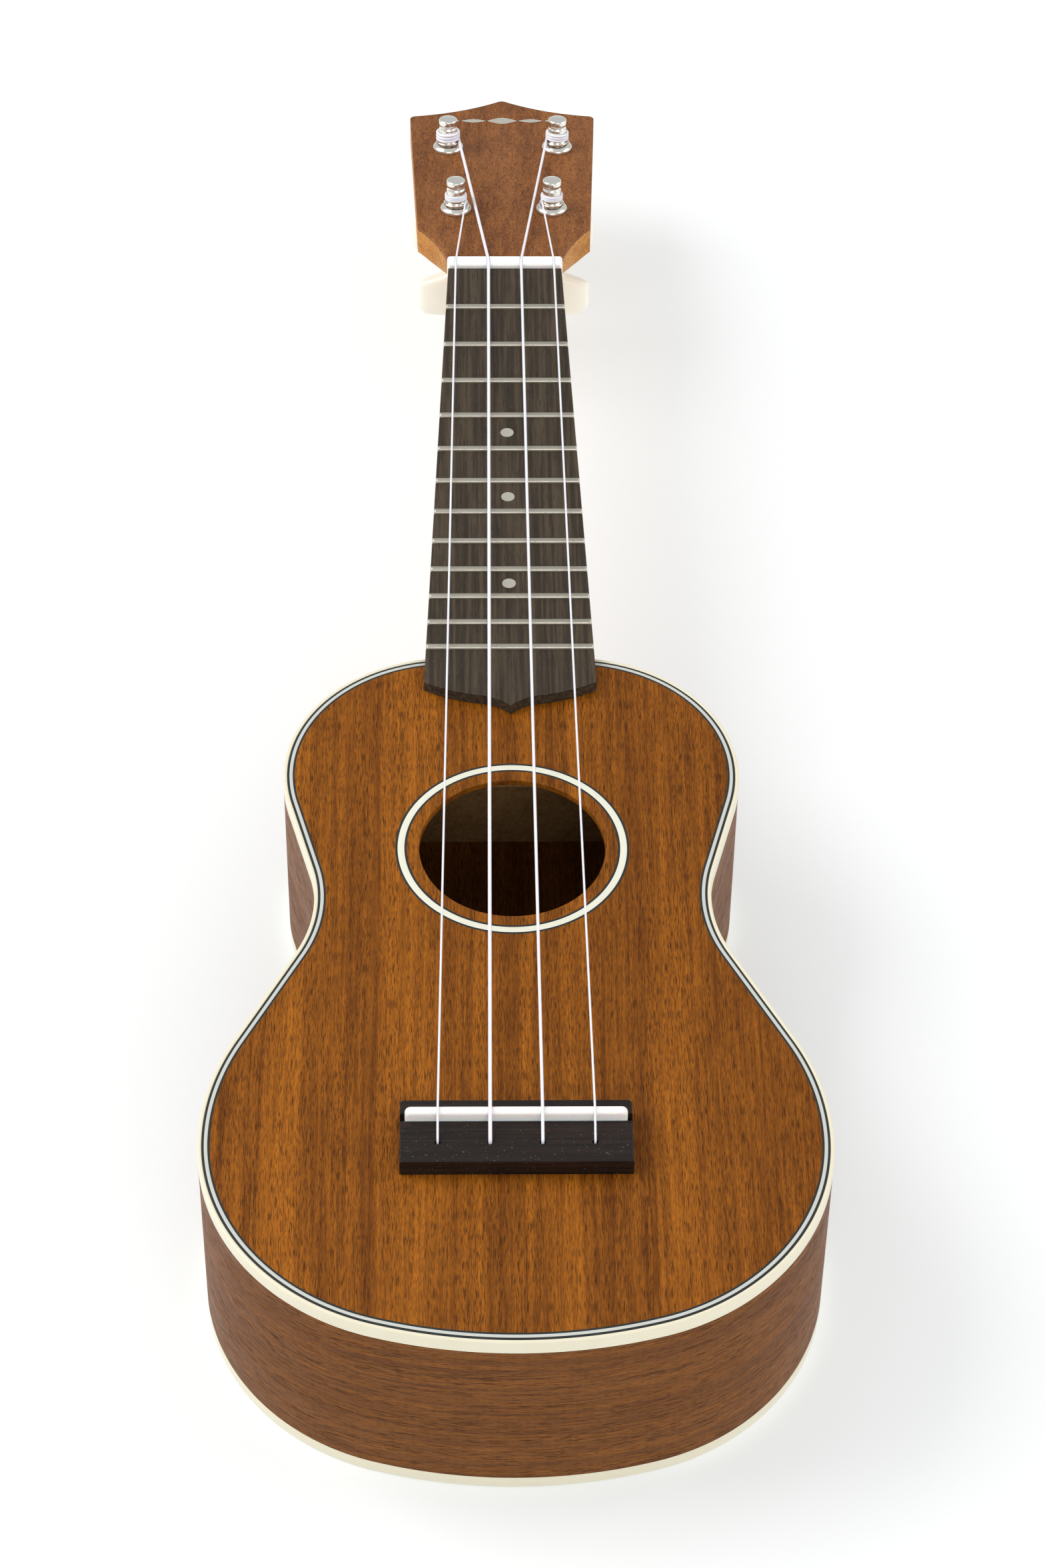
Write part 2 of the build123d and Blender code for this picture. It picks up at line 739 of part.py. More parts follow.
def make_strings():
    """Each string runs from its knot under the top, over saddle and nut, to its peg."""
    for index, (name, diameter) in enumerate(string_diameters.items()):
        route = string_route(index, name)
        path = FilletPolyline(*route, radius=[string_hole_bend, saddle_wrap(name), string_nut_bend])
        section = Plane(origin=path @ 0, z_dir=path % 0) * Circle(diameter / 2)
        tube = sweep(section, path=path)
        wanted = path.length * pi * diameter**2 / 4
        print(f"string {name}: length {path.length:.1f}, tube {tube.volume:.2f}, wanted {wanted:.2f}")
        knot = Pos(*route[0]) * Sphere(knot_radius)
        save(f"string_{name}", (tube + knot).solids())


# ---- friction pegs -------------------------------------------------------------------------
def turned(*points):
    """A solid turned about the peg's axis from (radius, height) points."""
    with BuildSketch(Plane.XZ) as profile:
        with BuildLine():
            Polyline(*points, points[0])
        make_face()
    return revolve(profile.sketch, Axis.Z)


def make_fittings():
    """Front ferrules, rear collars and friction washers, one of each for every peg."""
    bore = post_radius + peg_clearance
    back = -head_thickness
    ferrule = turned(
        (bore, -ferrule_sleeve), (sleeve_radius, -ferrule_sleeve), (sleeve_radius, 0), (ferrule_radius, 0),
        (ferrule_radius, ferrule_thickness * ferrule_rim_share),
        (ferrule_radius - ferrule_slope, ferrule_thickness), (bore, ferrule_thickness)
    )
    collar_end = back - collar_length
    collar = turned(
        (bore, back + collar_sleeve), (sleeve_radius, back + collar_sleeve), (sleeve_radius, back),
        (collar_radius, back), (collar_radius, back - collar_rim), (washer_radius, collar_end),
        (bore, collar_end)
    )
    washer = turned(
        (bore, collar_end), (washer_radius, collar_end), (washer_radius, collar_end - washer_thickness),
        (bore, collar_end - washer_thickness)
    )
    for name, piece in (("ferrules", ferrule), ("rear_collars", collar), ("friction_washers", washer)):
        copies = [face.location * Pos(x, u, 0) * piece for x, u in peg_places().values()]
        save(name, [copy.solid() for copy in copies])


def make_pegs():
    """Post, string winding, button and button screw of each peg, which turn together."""
    seat = ferrule_thickness + peg_end_gap
    hub_top = -head_thickness - collar_length - washer_thickness - peg_end_gap
    tang_end = hub_top - tang_length
    button_end = hub_top - button_hub_length + button_overlap - button_height
    waist_radii = (post_radius, post_waist_radius, post_waist_radius, post_radius)
    waist = [(radius, winding_height + rise) for radius, rise in zip(waist_radii, post_waist_heights)]
    post = turned(
        (0, tang_end), (tang_radius, tang_end), (tang_radius, hub_top), (post_radius, hub_top),
        (post_radius, seat), (peg_shoulder_radius, seat), (peg_shoulder_radius, seat + peg_shoulder_height),
        (post_radius, seat + peg_shoulder_height), *waist, (post_radius, post_height - post_rounding),
        (post_radius - post_rounding, post_height), (0, post_height)
    )
    tang_middle = (tang_end + hub_top) / 2
    flat_x = tang_flats / 2 + tang_radius
    flat = Box(2 * tang_radius, 4 * tang_radius, tang_length)
    flats = [Pos(side * flat_x, 0, tang_middle) * flat for side in (-1, 1)]
    screw_top = button_end + screw_head_height
    shank = Pos(0, 0, screw_top + screw_length / 2) * Cylinder(screw_radius, screw_length)
    tang = (Pos(0, 0, tang_middle) * Cylinder(tang_radius, tang_length)) - flats
    post = post - flats - shank
    head = Pos(0, 0, button_end + screw_head_height / 2) * Cylinder(screw_head_radius, screw_head_height)
    cross_slot = block(2 * screw_head_radius, screw_slot, screw_slot, (0, 0, button_end + screw_slot / 2))
    screw = head + shank - cross_slot
    paddle = RectangleRounded(button_width, button_height, button_corner)
    paddle = Pos(0, 0, button_end + button_height / 2) * Rot(90, 0, 0) * extrude(
        paddle, button_thickness / 2, both=True
    )
    paddle = fillet(paddle.faces().filter_by(Axis.Y).edges(), button_rounding)
    hub_end = hub_top - button_hub_length
    hub_foot = button_hub_radius - button_hub_taper
    hub = turned((0, hub_top), (button_hub_radius, hub_top), (hub_foot, hub_end), (0, hub_end))
    button = (paddle + hub) - tang - shank - head
    for name, (x, u) in peg_places().items():
        radius = string_diameters[name] / 2
        pitch = winding_pitch_share * string_diameters[name]
        coils = [
            Pos(0, 0, winding_height + pitch * (turn - (winding_turns - 1) / 2))
            * Torus(post_radius + radius + winding_clearance, radius)
            for turn in range(winding_turns)
        ]
        winding = coils[0] + coils[1:]
        hole = Pos(0, 0, winding_height) * Rot(90, 0, 0) * Cylinder(post_hole_radius, 4 * post_radius)
        pieces = {"post": post - hole, "winding": winding, "button": button, "button_screw": screw}
        for label, piece in pieces.items():
            placed = face.location * Pos(x, u, 0) * piece
            save(f"{label}_{name}", placed.solids())


os.makedirs("parts", exist_ok=True)
make_soundboard()
make_rosette()
make_edge_trim()
make_ribs()
make_back_plate()
make_blocks()
make_linings()
make_braces()
make_neck()
make_fretboard()
make_frets()
make_nut()
make_bridge()
make_strings()
make_fittings()
make_pegs()
print(f"overall length {-2 * tail_y:.2f}, body length {body_length:.2f}, nut at Y {nut_y:.2f}")
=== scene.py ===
import json
from math import acos, asin, atan2, cos, hypot, pi, radians, sin, sqrt

import bpy
import bmesh
import numpy as np
from bpy.props import FloatProperty, FloatVectorProperty, IntProperty, PointerProperty
from mathutils import Matrix, Vector


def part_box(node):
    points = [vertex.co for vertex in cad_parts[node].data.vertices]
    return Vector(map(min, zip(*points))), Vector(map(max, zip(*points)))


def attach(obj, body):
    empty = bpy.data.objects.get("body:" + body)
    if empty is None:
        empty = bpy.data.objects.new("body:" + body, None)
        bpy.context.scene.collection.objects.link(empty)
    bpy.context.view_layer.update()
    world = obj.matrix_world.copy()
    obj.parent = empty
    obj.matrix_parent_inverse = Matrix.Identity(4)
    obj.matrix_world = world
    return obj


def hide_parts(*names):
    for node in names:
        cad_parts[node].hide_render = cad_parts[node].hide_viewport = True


bl_info = {
    "name": "Ukulele Maker",
    "version": (1, 0, 0),
    "blender": (4, 5, 0),
    "location": "3D View > Sidebar > Ukulele",
    "description": "Finishes a soprano ukulele piece by piece around its measured frame",
    "category": "Add Mesh",
}

MM = 0.001
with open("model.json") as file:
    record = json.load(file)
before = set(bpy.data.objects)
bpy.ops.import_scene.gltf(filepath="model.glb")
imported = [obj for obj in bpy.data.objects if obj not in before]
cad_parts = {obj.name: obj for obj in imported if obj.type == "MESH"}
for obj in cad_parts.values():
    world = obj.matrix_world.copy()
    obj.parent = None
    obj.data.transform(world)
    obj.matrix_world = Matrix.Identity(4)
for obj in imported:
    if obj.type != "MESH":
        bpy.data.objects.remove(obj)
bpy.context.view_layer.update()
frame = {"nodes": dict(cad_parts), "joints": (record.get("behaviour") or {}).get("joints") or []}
NODES = frame["nodes"]
TRIM_LOW, TRIM_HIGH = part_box("top_binding")
STRING_NAMES = ("g", "c", "e", "a")


# ---- sizes and colours that a user would change --------------------------------------------
def length(label, text, default):
    """A length property in metres whose default is given in millimetres."""
    return FloatProperty(
        name=label, description=text, default=default * MM, unit="LENGTH", min=0, precision=5
    )


def watts(label, text, default):
    """A property for a light's power."""
    return FloatProperty(name=label, description=text, default=default, unit="POWER")


def colour(label, text, default):
    """A colour property given as display red, green and blue from 0 to 255, kept as linear light."""
    channels = [((c / 255 + 0.055) / 1.055) ** 2.4 if c > 10 else c / 255 / 12.92 for c in default]
    return FloatVectorProperty(name=label, description=text, default=channels, subtype="COLOR", min=0, max=1)


class BodySizes(bpy.types.PropertyGroup):
    waist_width: length("Waist width", "Across the narrowest part of the body", 108.1)
    upper_width: length("Upper bout width", "Across the body's upper bout", 127.6)
    waist_rise: length("Waist rise", "From the widest part of the body to its waist", 83.6)
    upper_rise: length("Upper bout rise", "From the waist to the upper bout", 48.2)
    tail_radius: length("Tail radius", "Radius of the tail's arc", 133.8)
    lower_tail_radius: length("Lower bout radius, tail side", "Radius towards the tail", 62.7)
    lower_waist_radius: length("Lower bout radius, waist side", "Radius towards the waist", 74.0)
    waist_tail_radius: length("Waist radius, tail side", "Hollow radius towards the tail", 43.1)
    waist_neck_radius: length("Waist radius, neck side", "Hollow radius towards the neck", 44.3)
    upper_tail_radius: length("Upper bout radius, tail side", "Radius towards the waist", 47.2)
    upper_neck_radius: length("Upper bout radius, neck side", "Radius towards the neck", 46.1)
    rib_thickness: length("Rib thickness", "Thickness of the bent sides", 2.0)
    edge_step: length("Edge step", "Distance between points along the body's edge", 1.2)
    edge_rounding: length("Edge rounding", "Softening of worked edges", 0.3)


class StringSizes(bpy.types.PropertyGroup):
    gauges: FloatVectorProperty(
        name="Gauges", description="String diameters from left to right", size=4, unit="LENGTH",
        default=(0.6 * MM, 1.0 * MM, 0.85 * MM, 0.6 * MM), precision=5,
    )
    nut_span: length("Span at the nut", "Between the outer strings at the nut", 31.0)
    saddle_span: length("Span at the saddle", "Between the outer strings at the saddle", 40.4)
    winding_turns: FloatProperty(
        name="Winding turns", description="Turns of string round a post", default=3.15
    )
    sides: IntProperty(name="Sides", description="Facets round a string", default=14, min=6)


class PegSizes(bpy.types.PropertyGroup):
    post_radius: length("Post radius", "Radius of the string post", 3.0)
    post_height: length("Post height", "Height of the post above the head's face", 11.0)
    winding_height: length("Winding height", "Height of the string's winding above the face", 5.0)
    button_width: length("Button width", "Across the button's two wings", 25.0)
    button_height: length("Button height", "Height of the wings along the peg's axis", 13.6)
    button_thickness: length("Button thickness", "Thickness of the wings", 6.2)
    facets: IntProperty(name="Facets", description="Facets round turned pieces", default=56, min=12)


class Finishes(bpy.types.PropertyGroup):
    top_light: colour("Top, light", "Light grain of the soundboard", (172, 102, 25))
    top_dark: colour("Top, dark", "Dark grain of the soundboard", (101, 53, 6))
    side_light: colour("Sides, light", "Light grain of the ribs and back", (144, 88, 32))
    side_dark: colour("Sides, dark", "Dark grain of the ribs and back", (92, 50, 14))
    neck_light: colour("Neck, light", "Light grain of the neck", (222, 160, 85))
    neck_dark: colour("Neck, dark", "Dark grain of the neck", (173, 109, 44))
    veneer_light: colour("Veneer, light", "Light grain of the head's veneer", (166, 106, 56))
    veneer_dark: colour("Veneer, dark", "Dark grain of the head's veneer", (106, 60, 28))
    inner_light: colour("Inner wood, light", "Light grain of blocks and linings", (179, 142, 94))
    inner_dark: colour("Inner wood, dark", "Dark grain of blocks and linings", (135, 97, 57))
    board_light: colour("Fretboard, light", "Light grain of the fretboard", (79, 66, 50))
    board_dark: colour("Fretboard, dark", "Dark grain of the fretboard", (38, 31, 22))
    bridge_light: colour("Bridge, light", "Light grain of the bridge", (41, 27, 21))
    bridge_dark: colour("Bridge, dark", "Dark grain of the bridge", (13, 7, 3))
    cream: colour("Cream", "Cream binding", (228, 221, 197))
    rosette: colour("Rosette cream", "Cream of the rosette's band", (228, 227, 210))
    white: colour("White line", "Cool white line in the edge trim", (196, 198, 192))
    black: colour("Dark line", "Dark lines beside the white ones", (19, 28, 27))
    bone: colour("Bone", "Nut and saddle", (252, 250, 244))
    ivory: colour("Ivory plastic", "Tuning buttons", (250, 246, 232))
    nylon: colour("Nylon", "Strings", (244, 240, 250))


class StageSettings(bpy.types.PropertyGroup):
    floor: FloatVectorProperty(
        name="Floor", description="Colour of the floor", default=(0.62, 0.635, 0.64), subtype="COLOR"
    )
    glow: FloatProperty(name="Glow", description="Light that the floor gives of itself", default=0.35)
    key_power: watts("Key power", "Power of the large soft light", 18.0)
    fill_power: watts("Fill power", "Power of the side light", 6.5)
    front_power: watts("Front power", "Power of the weak front light", 7.0)
    sky: FloatProperty(name="Sky", description="Strength of the even surrounding light", default=0.60)
    focal_length: FloatProperty(name="Focal length", description="Lens in millimetres", default=94.67)


# ---- shader arithmetic ----------------------------------------------------------------------
class Value:
    """A socket that takes part in arithmetic: every operation adds one Math node."""

    def __init__(self, shade, socket):
        self.shade = shade
        self.socket = socket

    def __add__(self, other):
        return self.shade.math("ADD", self, other)

    __radd__ = __add__

    def __sub__(self, other):
        return self.shade.math("SUBTRACT", self, other)

    def __rsub__(self, other):
        return self.shade.math("SUBTRACT", other, self)

    def __mul__(self, other):
        return self.shade.math("MULTIPLY", self, other)

    __rmul__ = __mul__


class Shade:
    """A material's node tree written as expressions."""

    def __init__(self, name):
        self.material = bpy.data.materials.new(name)
        self.material.use_nodes = True
        self.tree = self.material.node_tree
        self.tree.nodes.clear()

    def node(self, kind, settings=None, values=None, output=0):
        """Add a node: settings first, then the values or links of its sockets, then wrap one output."""
        made = self.tree.nodes.new(kind)
        for key, setting in (settings or {}).items():
            setattr(made, key, setting)
        for key, value in (values or {}).items():
            if isinstance(value, Value):
                self.tree.links.new(value.socket, made.inputs[key])
            else:
                made.inputs[key].default_value = value
        return Value(self, made.outputs[output])

    def math(self, operation, first, second=0.0):
        return self.node("ShaderNodeMath", {"operation": operation}, {0: first, 1: second})

    def clamp(self, value, low, high):
        """Smooth step from 0 below the low limit to 1 above the high one."""
        limits = {"Value": value, "From Min": low, "From Max": high}
        return self.node("ShaderNodeMapRange", {"interpolation_type": "SMOOTHSTEP"}, limits)

    def vector(self, operation, first, second):
        return self.node("ShaderNodeVectorMath", {"operation": operation}, {0: first, 1: second})

    def scaled(self, vector, factors):
        return self.vector("MULTIPLY", vector, factors)

    def noise(self, vector, factors=(1, 1, 1), detail=2.0, roughness=0.5):
        """Noise over a vector whose axes are first stretched by the given factors."""
        return self.node(
            "ShaderNodeTexNoise", None,
            {"Vector": self.scaled(vector, factors), "Scale": 1.0, "Detail": detail, "Roughness": roughness},
        )

    def mix(self, factor, first, second):
        """Mix two colours; each is a socket or a linear colour."""
        settings = {"data_type": "RGBA", "blend_type": "MIX", "clamp_factor": True}
        opaque = [(*c, 1.0) if not isinstance(c, Value) and len(c) == 3 else c for c in (first, second)]
        return self.node("ShaderNodeMix", settings, {0: factor, 6: opaque[0], 7: opaque[1]}, 2)

    def place(self):
        """Object coordinates in millimetres."""
        return self.scaled(self.node("ShaderNodeTexCoord", output="Object"), (1000, 1000, 1000))

    def run(self):
        """The piece's own map in millimetres, turned so that the grain follows its length."""
        split = self.node("ShaderNodeSeparateXYZ", None, {0: self.node("ShaderNodeUVMap")})
        across = Value(self, split.socket.node.outputs[1])
        return self.node("ShaderNodeCombineXYZ", None, {0: across * 1000.0, 1: split * 1000.0})

    def finish(self, colour, roughness, height=None, depth=0.1, coat=0.0, coat_roughness=0.2, metallic=0.0,
               specular=0.5, subsurface=0.0):
        """Principled surface; height in millimetres times depth drives the bump."""
        values = {
            "Base Color": colour if isinstance(colour, Value) else (*colour, 1.0),
            "Roughness": roughness,
            "Metallic": metallic,
            "Coat Weight": coat,
            "Coat Roughness": coat_roughness,
            "Specular IOR Level": specular,
            "Subsurface Weight": subsurface,
            "Subsurface Scale": 2 * MM,
        }
        if height is not None:
            bump = {"Height": height, "Strength": 1.0, "Distance": depth * MM}
            values["Normal"] = self.node("ShaderNodeBump", None, bump)
        surface = self.node("ShaderNodeBsdfPrincipled", None, values)
        output = self.tree.nodes.new("ShaderNodeOutputMaterial")
        self.tree.links.new(surface.socket, output.inputs["Surface"])
        return self.material


def mahogany(name, light, dark, follow_run=False, seed=0.0, pores=0.7, gloss=0.42, bands=0.24):
    """Open-pored mahogany. Ribbons a few millimetres wide and finer streaks run with the grain, curly flecks
    cross them, short dark pores lie in rows along it, and the lacquer dips into each pore."""
    shade = Shade(name)
    spot = shade.run() if follow_run else shade.place()
    spot = shade.vector("ADD", spot, (seed, 3.7 * seed, -seed))
    sway = (shade.noise(spot, (0.010, 0.005, 0.010), 1.0) - 0.5) * 7.0
    spot = shade.vector("ADD", spot, shade.node("ShaderNodeCombineXYZ", None, {0: sway}))
    ribbon = shade.clamp(shade.noise(spot, (0.085, 0.0012, 0.085), 2.0), 0.40, 0.60)
    streak = shade.clamp(shade.noise(spot, (0.55, 0.008, 0.55), 3.0, 0.65), 0.34, 0.66)
    thread = shade.clamp(shade.noise(spot, (2.1, 0.050, 2.1), 2.0, 0.6), 0.36, 0.64)
    curl = shade.clamp(shade.noise(spot, (0.20, 0.07, 0.20), 3.0, 0.6), 0.42, 0.66)
    row = shade.clamp(shade.noise(spot, (0.8, 0.015, 0.8), 1.0), 0.36, 0.58)
    pore = shade.clamp(shade.noise(spot, (4.4, 0.24, 4.4), 1.0), 0.51, 0.66) * (0.40 + 0.60 * row)
    fleck = shade.clamp(shade.noise(spot, (6.5, 0.55, 6.5), 0.0), 0.52, 0.72)
    deep = tuple(0.30 * c for c in dark)
    tone = (ribbon - 0.5) * bands + streak * 0.34 + curl * 0.12 + thread * 0.26 + 0.14
    body = shade.mix(tone, dark, light)
    body = shade.mix(fleck * 0.45, body, deep)
    body = shade.mix(pore * pores, body, deep)
    rough = gloss + 0.08 * streak + 0.25 * pore - 0.05 * ribbon
    relief = 0.35 * thread - pore - 0.35 * fleck
    return shade.finish(body, rough, relief, 0.06, specular=0.12)


def rosewood(name, light, dark, along_y, gloss, dust):
    """Dark close-grained wood with long fine lines, small pores and a little dry bloom."""
    shade = Shade(name)
    spot = shade.place()
    along = (0.9, 0.02, 0.9) if along_y else (0.02, 1.1, 1.1)
    fine = (4.5, 0.16, 4.5) if along_y else (0.16, 5.0, 5.0)
    line = shade.clamp(shade.noise(spot, along, 3.0, 0.6), 0.35, 0.68)
    pore = shade.clamp(shade.noise(spot, fine, 1.0), 0.58, 0.70)
    bloom = shade.noise(spot, (0.06, 0.05, 0.06), 3.0, 0.6)
    speck = shade.clamp(shade.noise(spot, (2.2, 2.2, 2.2), 0.0), 0.76, 0.82)
    tone = shade.mix(0.15 + 0.75 * line, dark, light)
    tone = shade.mix(pore * 0.55, tone, tuple(0.4 * c for c in dark))
    tone = shade.mix(speck * dust, tone, (0.35, 0.35, 0.33))
    rough = gloss + 0.18 * bloom + 0.15 * pore
    return shade.finish(tone, rough, 0.4 * line - pore, 0.04, specular=0.3)


def cast_plastic(name, tone, rough=0.32, mottle=0.06, coat=0.2, translucence=0.0):
    """Sheet plastic or bone: faint cloudy patches, fine scraper lines and small handling marks."""
    shade = Shade(name)
    spot = shade.place()
    cloud = shade.noise(spot, (0.25, 0.25, 0.25), 3.0)
    scrape = shade.noise(spot, (0.9, 0.9, 6.0), 2.0)
    mark = shade.clamp(shade.noise(spot, (1.1, 0.7, 1.1), 4.0, 0.7), 0.60, 0.74)
    shadow = tuple(c * f for c, f in zip(tone, (0.86, 0.82, 0.72)))
    body = shade.mix((cloud - 0.4) * mottle * 6 + mark * 0.12, tone, shadow)
    rough = rough + 0.12 * mark + 0.1 * cloud
    return shade.finish(body, rough, scrape - 0.4 * mark, 0.012, coat=coat, subsurface=translucence)


def metal(name, tone, rough, brushed=(1.0, 9.0, 9.0), tarnish=0.3):
    """Plated or polished metal with fine polishing lines and dull patches."""
    shade = Shade(name)
    spot = shade.place()
    line = shade.noise(spot, brushed, 2.0)
    patch = shade.clamp(shade.noise(spot, (0.6, 0.6, 0.6), 4.0, 0.65), 0.45, 0.75)
    dull = tuple(c * f for c, f in zip(tone, (0.72, 0.68, 0.58)))
    body = shade.mix(patch * tarnish, tone, dull)
    return shade.finish(body, rough + 0.14 * patch + 0.08 * line, line, 0.006, metallic=1.0)


def nylon(name, tone):
    """Milky monofilament: pale, glossy, faintly uneven in tone."""
    shade = Shade(name)
    spot = shade.place()
    cloud = shade.noise(spot, (0.8, 0.15, 0.8), 2.0)
    body = shade.mix(cloud * 0.3, tone, tuple(0.82 * c for c in tone))
    rough = 0.22 + 0.12 * cloud
    return shade.finish(body, rough, cloud, 0.004, coat=0.35, coat_roughness=0.12, subsurface=0.25)


def studio_floor(name, tone, glow):
    """Matt white floor, lit a little from within as a light table is, with the faintest unevenness."""
    shade = Shade(name)
    grain = shade.noise(shade.place(), (0.01, 0.01, 0.01), 2.0)
    surface = shade.mix(grain * 0.05, tone, tuple(0.98 * c for c in tone))
    material = shade.finish(surface, 0.9, specular=0.0)
    principled = shade.tree.nodes["Principled BSDF"]
    principled.inputs["Emission Color"].default_value = (0.985, 1.0, 0.99, 1.0)
    principled.inputs["Emission Strength"].default_value = glow
    return material


PEARL, FIBRE = (0.42, 0.40, 0.34), (0.035, 0.03, 0.028)
FRET_ALLOY, NICKEL, STEEL = (0.50, 0.47, 0.40), (0.86, 0.84, 0.78), (0.62, 0.61, 0.58)
MATERIALS = {}


def finish_named(name):
    """Each finish is made once and shared by the pieces that wear it."""
    if name not in MATERIALS:
        tone = bpy.context.scene.uke_finishes
        top, side = (tone.top_light, tone.top_dark), (tone.side_light, tone.side_dark)
        neck = (tone.neck_light, tone.neck_dark)
        veneer, inner = (tone.veneer_light, tone.veneer_dark), (tone.inner_light, tone.inner_dark)
        board, bridge = (tone.board_light, tone.board_dark), (tone.bridge_light, tone.bridge_dark)
        recipes = {
            "top_mahogany": lambda: mahogany(name, *top, seed=11.0, pores=0.75, bands=0.36),
            "side_mahogany": lambda: mahogany(name, *side, follow_run=True, seed=4.0, bands=0.10),
            "back_mahogany": lambda: mahogany(name, *side, seed=90.0),
            "neck_mahogany": lambda: mahogany(name, *neck, seed=41.0, pores=0.6),
            "veneer_mahogany": lambda: mahogany(name, *veneer, seed=23.0, pores=0.6),
            "inner_wood": lambda: mahogany(name, *inner, seed=7.0, pores=0.3, gloss=0.6),
            "fretboard_rosewood": lambda: rosewood(name, *board, along_y=True, gloss=0.5, dust=0.1),
            "bridge_rosewood": lambda: rosewood(name, *bridge, along_y=False, gloss=0.36, dust=0.25),
            "cream_binding": lambda: cast_plastic(name, tone.cream),
            "rosette_cream": lambda: cast_plastic(name, tone.rosette, mottle=0.04),
            "white_line": lambda: cast_plastic(name, tone.white, mottle=0.04),
            "dark_line": lambda: cast_plastic(name, tone.black, 0.4, 0.02, 0.1),
            "bone": lambda: cast_plastic(name, tone.bone, 0.34, 0.04, translucence=0.6),
            "pearl": lambda: cast_plastic(name, PEARL, 0.22, 0.10, 0.5),
            "button_ivory": lambda: cast_plastic(name, tone.ivory, 0.25, 0.05, 0.5),
            "fibre": lambda: cast_plastic(name, FIBRE, 0.7, 0.05, 0.0),
            "fret_metal": lambda: metal(name, FRET_ALLOY, 0.34, (0.6, 9.0, 9.0)),
            "post_nickel": lambda: metal(name, NICKEL, 0.16, (2.0, 2.0, 9.0), 0.15),
            "screw_steel": lambda: metal(name, STEEL, 0.28, (5.0, 5.0, 5.0)),
            "nylon": lambda: nylon(name, tone.nylon),
        }
        MATERIALS[name] = recipes[name]()
    return MATERIALS[name]


# ---- surfaces worked out with numpy -----------------------------------------------------------
def skin(rings, closed_path=False, along=None, around=None):
    """Points, faces and map of a skin over a grid of rings. Row i of the grid is one closed ring, and each
    ring is joined to the next by four-sided faces. An open run is shut at both ends by a fan of triangles
    from the mean of its end ring. The faces are turned outwards by the sign of the enclosed volume."""
    rows, columns = rings.shape[:2]
    points = rings.reshape(-1, 3)
    i, j = np.meshgrid(np.arange(rows if closed_path else rows - 1), np.arange(columns), indexing="ij")
    next_i, next_j = (i + 1) % rows, (j + 1) % columns
    quads = np.stack(
        [i * columns + j, i * columns + next_j, next_i * columns + next_j, next_i * columns + j], -1
    ).reshape(-1, 4)
    along = np.arange(rows + 1.0) * MM if along is None else along
    around = np.arange(columns + 1.0) * MM if around is None else around
    corners_u = np.stack([along[i], along[i], along[i + 1], along[i + 1]], -1).reshape(-1, 4)
    corners_v = np.stack([around[j], around[j + 1], around[j + 1], around[j]], -1).reshape(-1, 4)
    triangles = np.zeros((0, 3), int)
    if not closed_path:
        ring = np.arange(columns)
        after = (ring + 1) % columns
        last = (rows - 1) * columns
        hubs = np.stack([rings[0].mean(0), rings[-1].mean(0)])
        first_hub = len(points)
        points = np.concatenate([points, hubs])
        near = np.stack([np.full(columns, first_hub), after, ring], -1)
        far = np.stack([np.full(columns, first_hub + 1), last + ring, last + after], -1)
        triangles = np.concatenate([near, far])
    solid = np.concatenate([quads[:, [0, 1, 2]], quads[:, [0, 2, 3]], triangles])
    a, b, c = (points[solid[:, k]] for k in range(3))
    if np.einsum("ij,ij->i", a, np.cross(b, c)).sum() < 0:
        quads, triangles = quads[:, ::-1], triangles[:, ::-1]
        corners_u, corners_v = corners_u[:, ::-1], corners_v[:, ::-1]
    quad_map = np.stack([corners_u, corners_v], -1).reshape(-1, 2)
    fan_map = points[triangles.reshape(-1)][:, [1, 2]]
    return points, quads, triangles, quad_map, fan_map


def build_mesh(name, skins, sharp=35.0):
    """One mesh from several skins, smooth except across edges sharper than the given angle."""
    starts = np.cumsum([0] + [len(part[0]) for part in skins])
    points = np.concatenate([part[0] for part in skins])
    quads = np.concatenate([part[1] + start for part, start in zip(skins, starts)])
    triangles = np.concatenate([part[2] + start for part, start in zip(skins, starts)])
    flat = np.concatenate([part[3] for part in skins] + [part[4] for part in skins])
    mesh = bpy.data.meshes.new(name)
    mesh.from_pydata(points.tolist(), [], quads.tolist() + triangles.tolist())
    layer = mesh.uv_layers.new(name="UVMap")
    layer.data.foreach_set("uv", flat.astype(np.float32).ravel())
    mesh.shade_smooth()
    mesh.set_sharp_from_angle(angle=radians(sharp))
    mesh.update()
    return mesh


def made_piece(name, skins, finish, body="body", replaced=(), sharp=35.0):
    """A finished piece from its skins."""
    return add_piece(name, build_mesh(name, skins, sharp), finish, body, replaced)


def add_piece(name, mesh, finish, body="body", replaced=()):
    """Link a finished piece, dress it, and let it ride on its body."""
    piece = bpy.data.objects.new(name, mesh)
    bpy.context.scene.collection.objects.link(piece)
    mesh.materials.clear()
    mesh.materials.append(finish_named(finish))
    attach(piece, body)
    if replaced:
        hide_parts(*replaced)
    return piece


def dress(node, finish):
    """Give a carried-over CAD node its finish."""
    mesh = NODES[node].data
    mesh.materials.clear()
    mesh.materials.append(finish_named(finish))


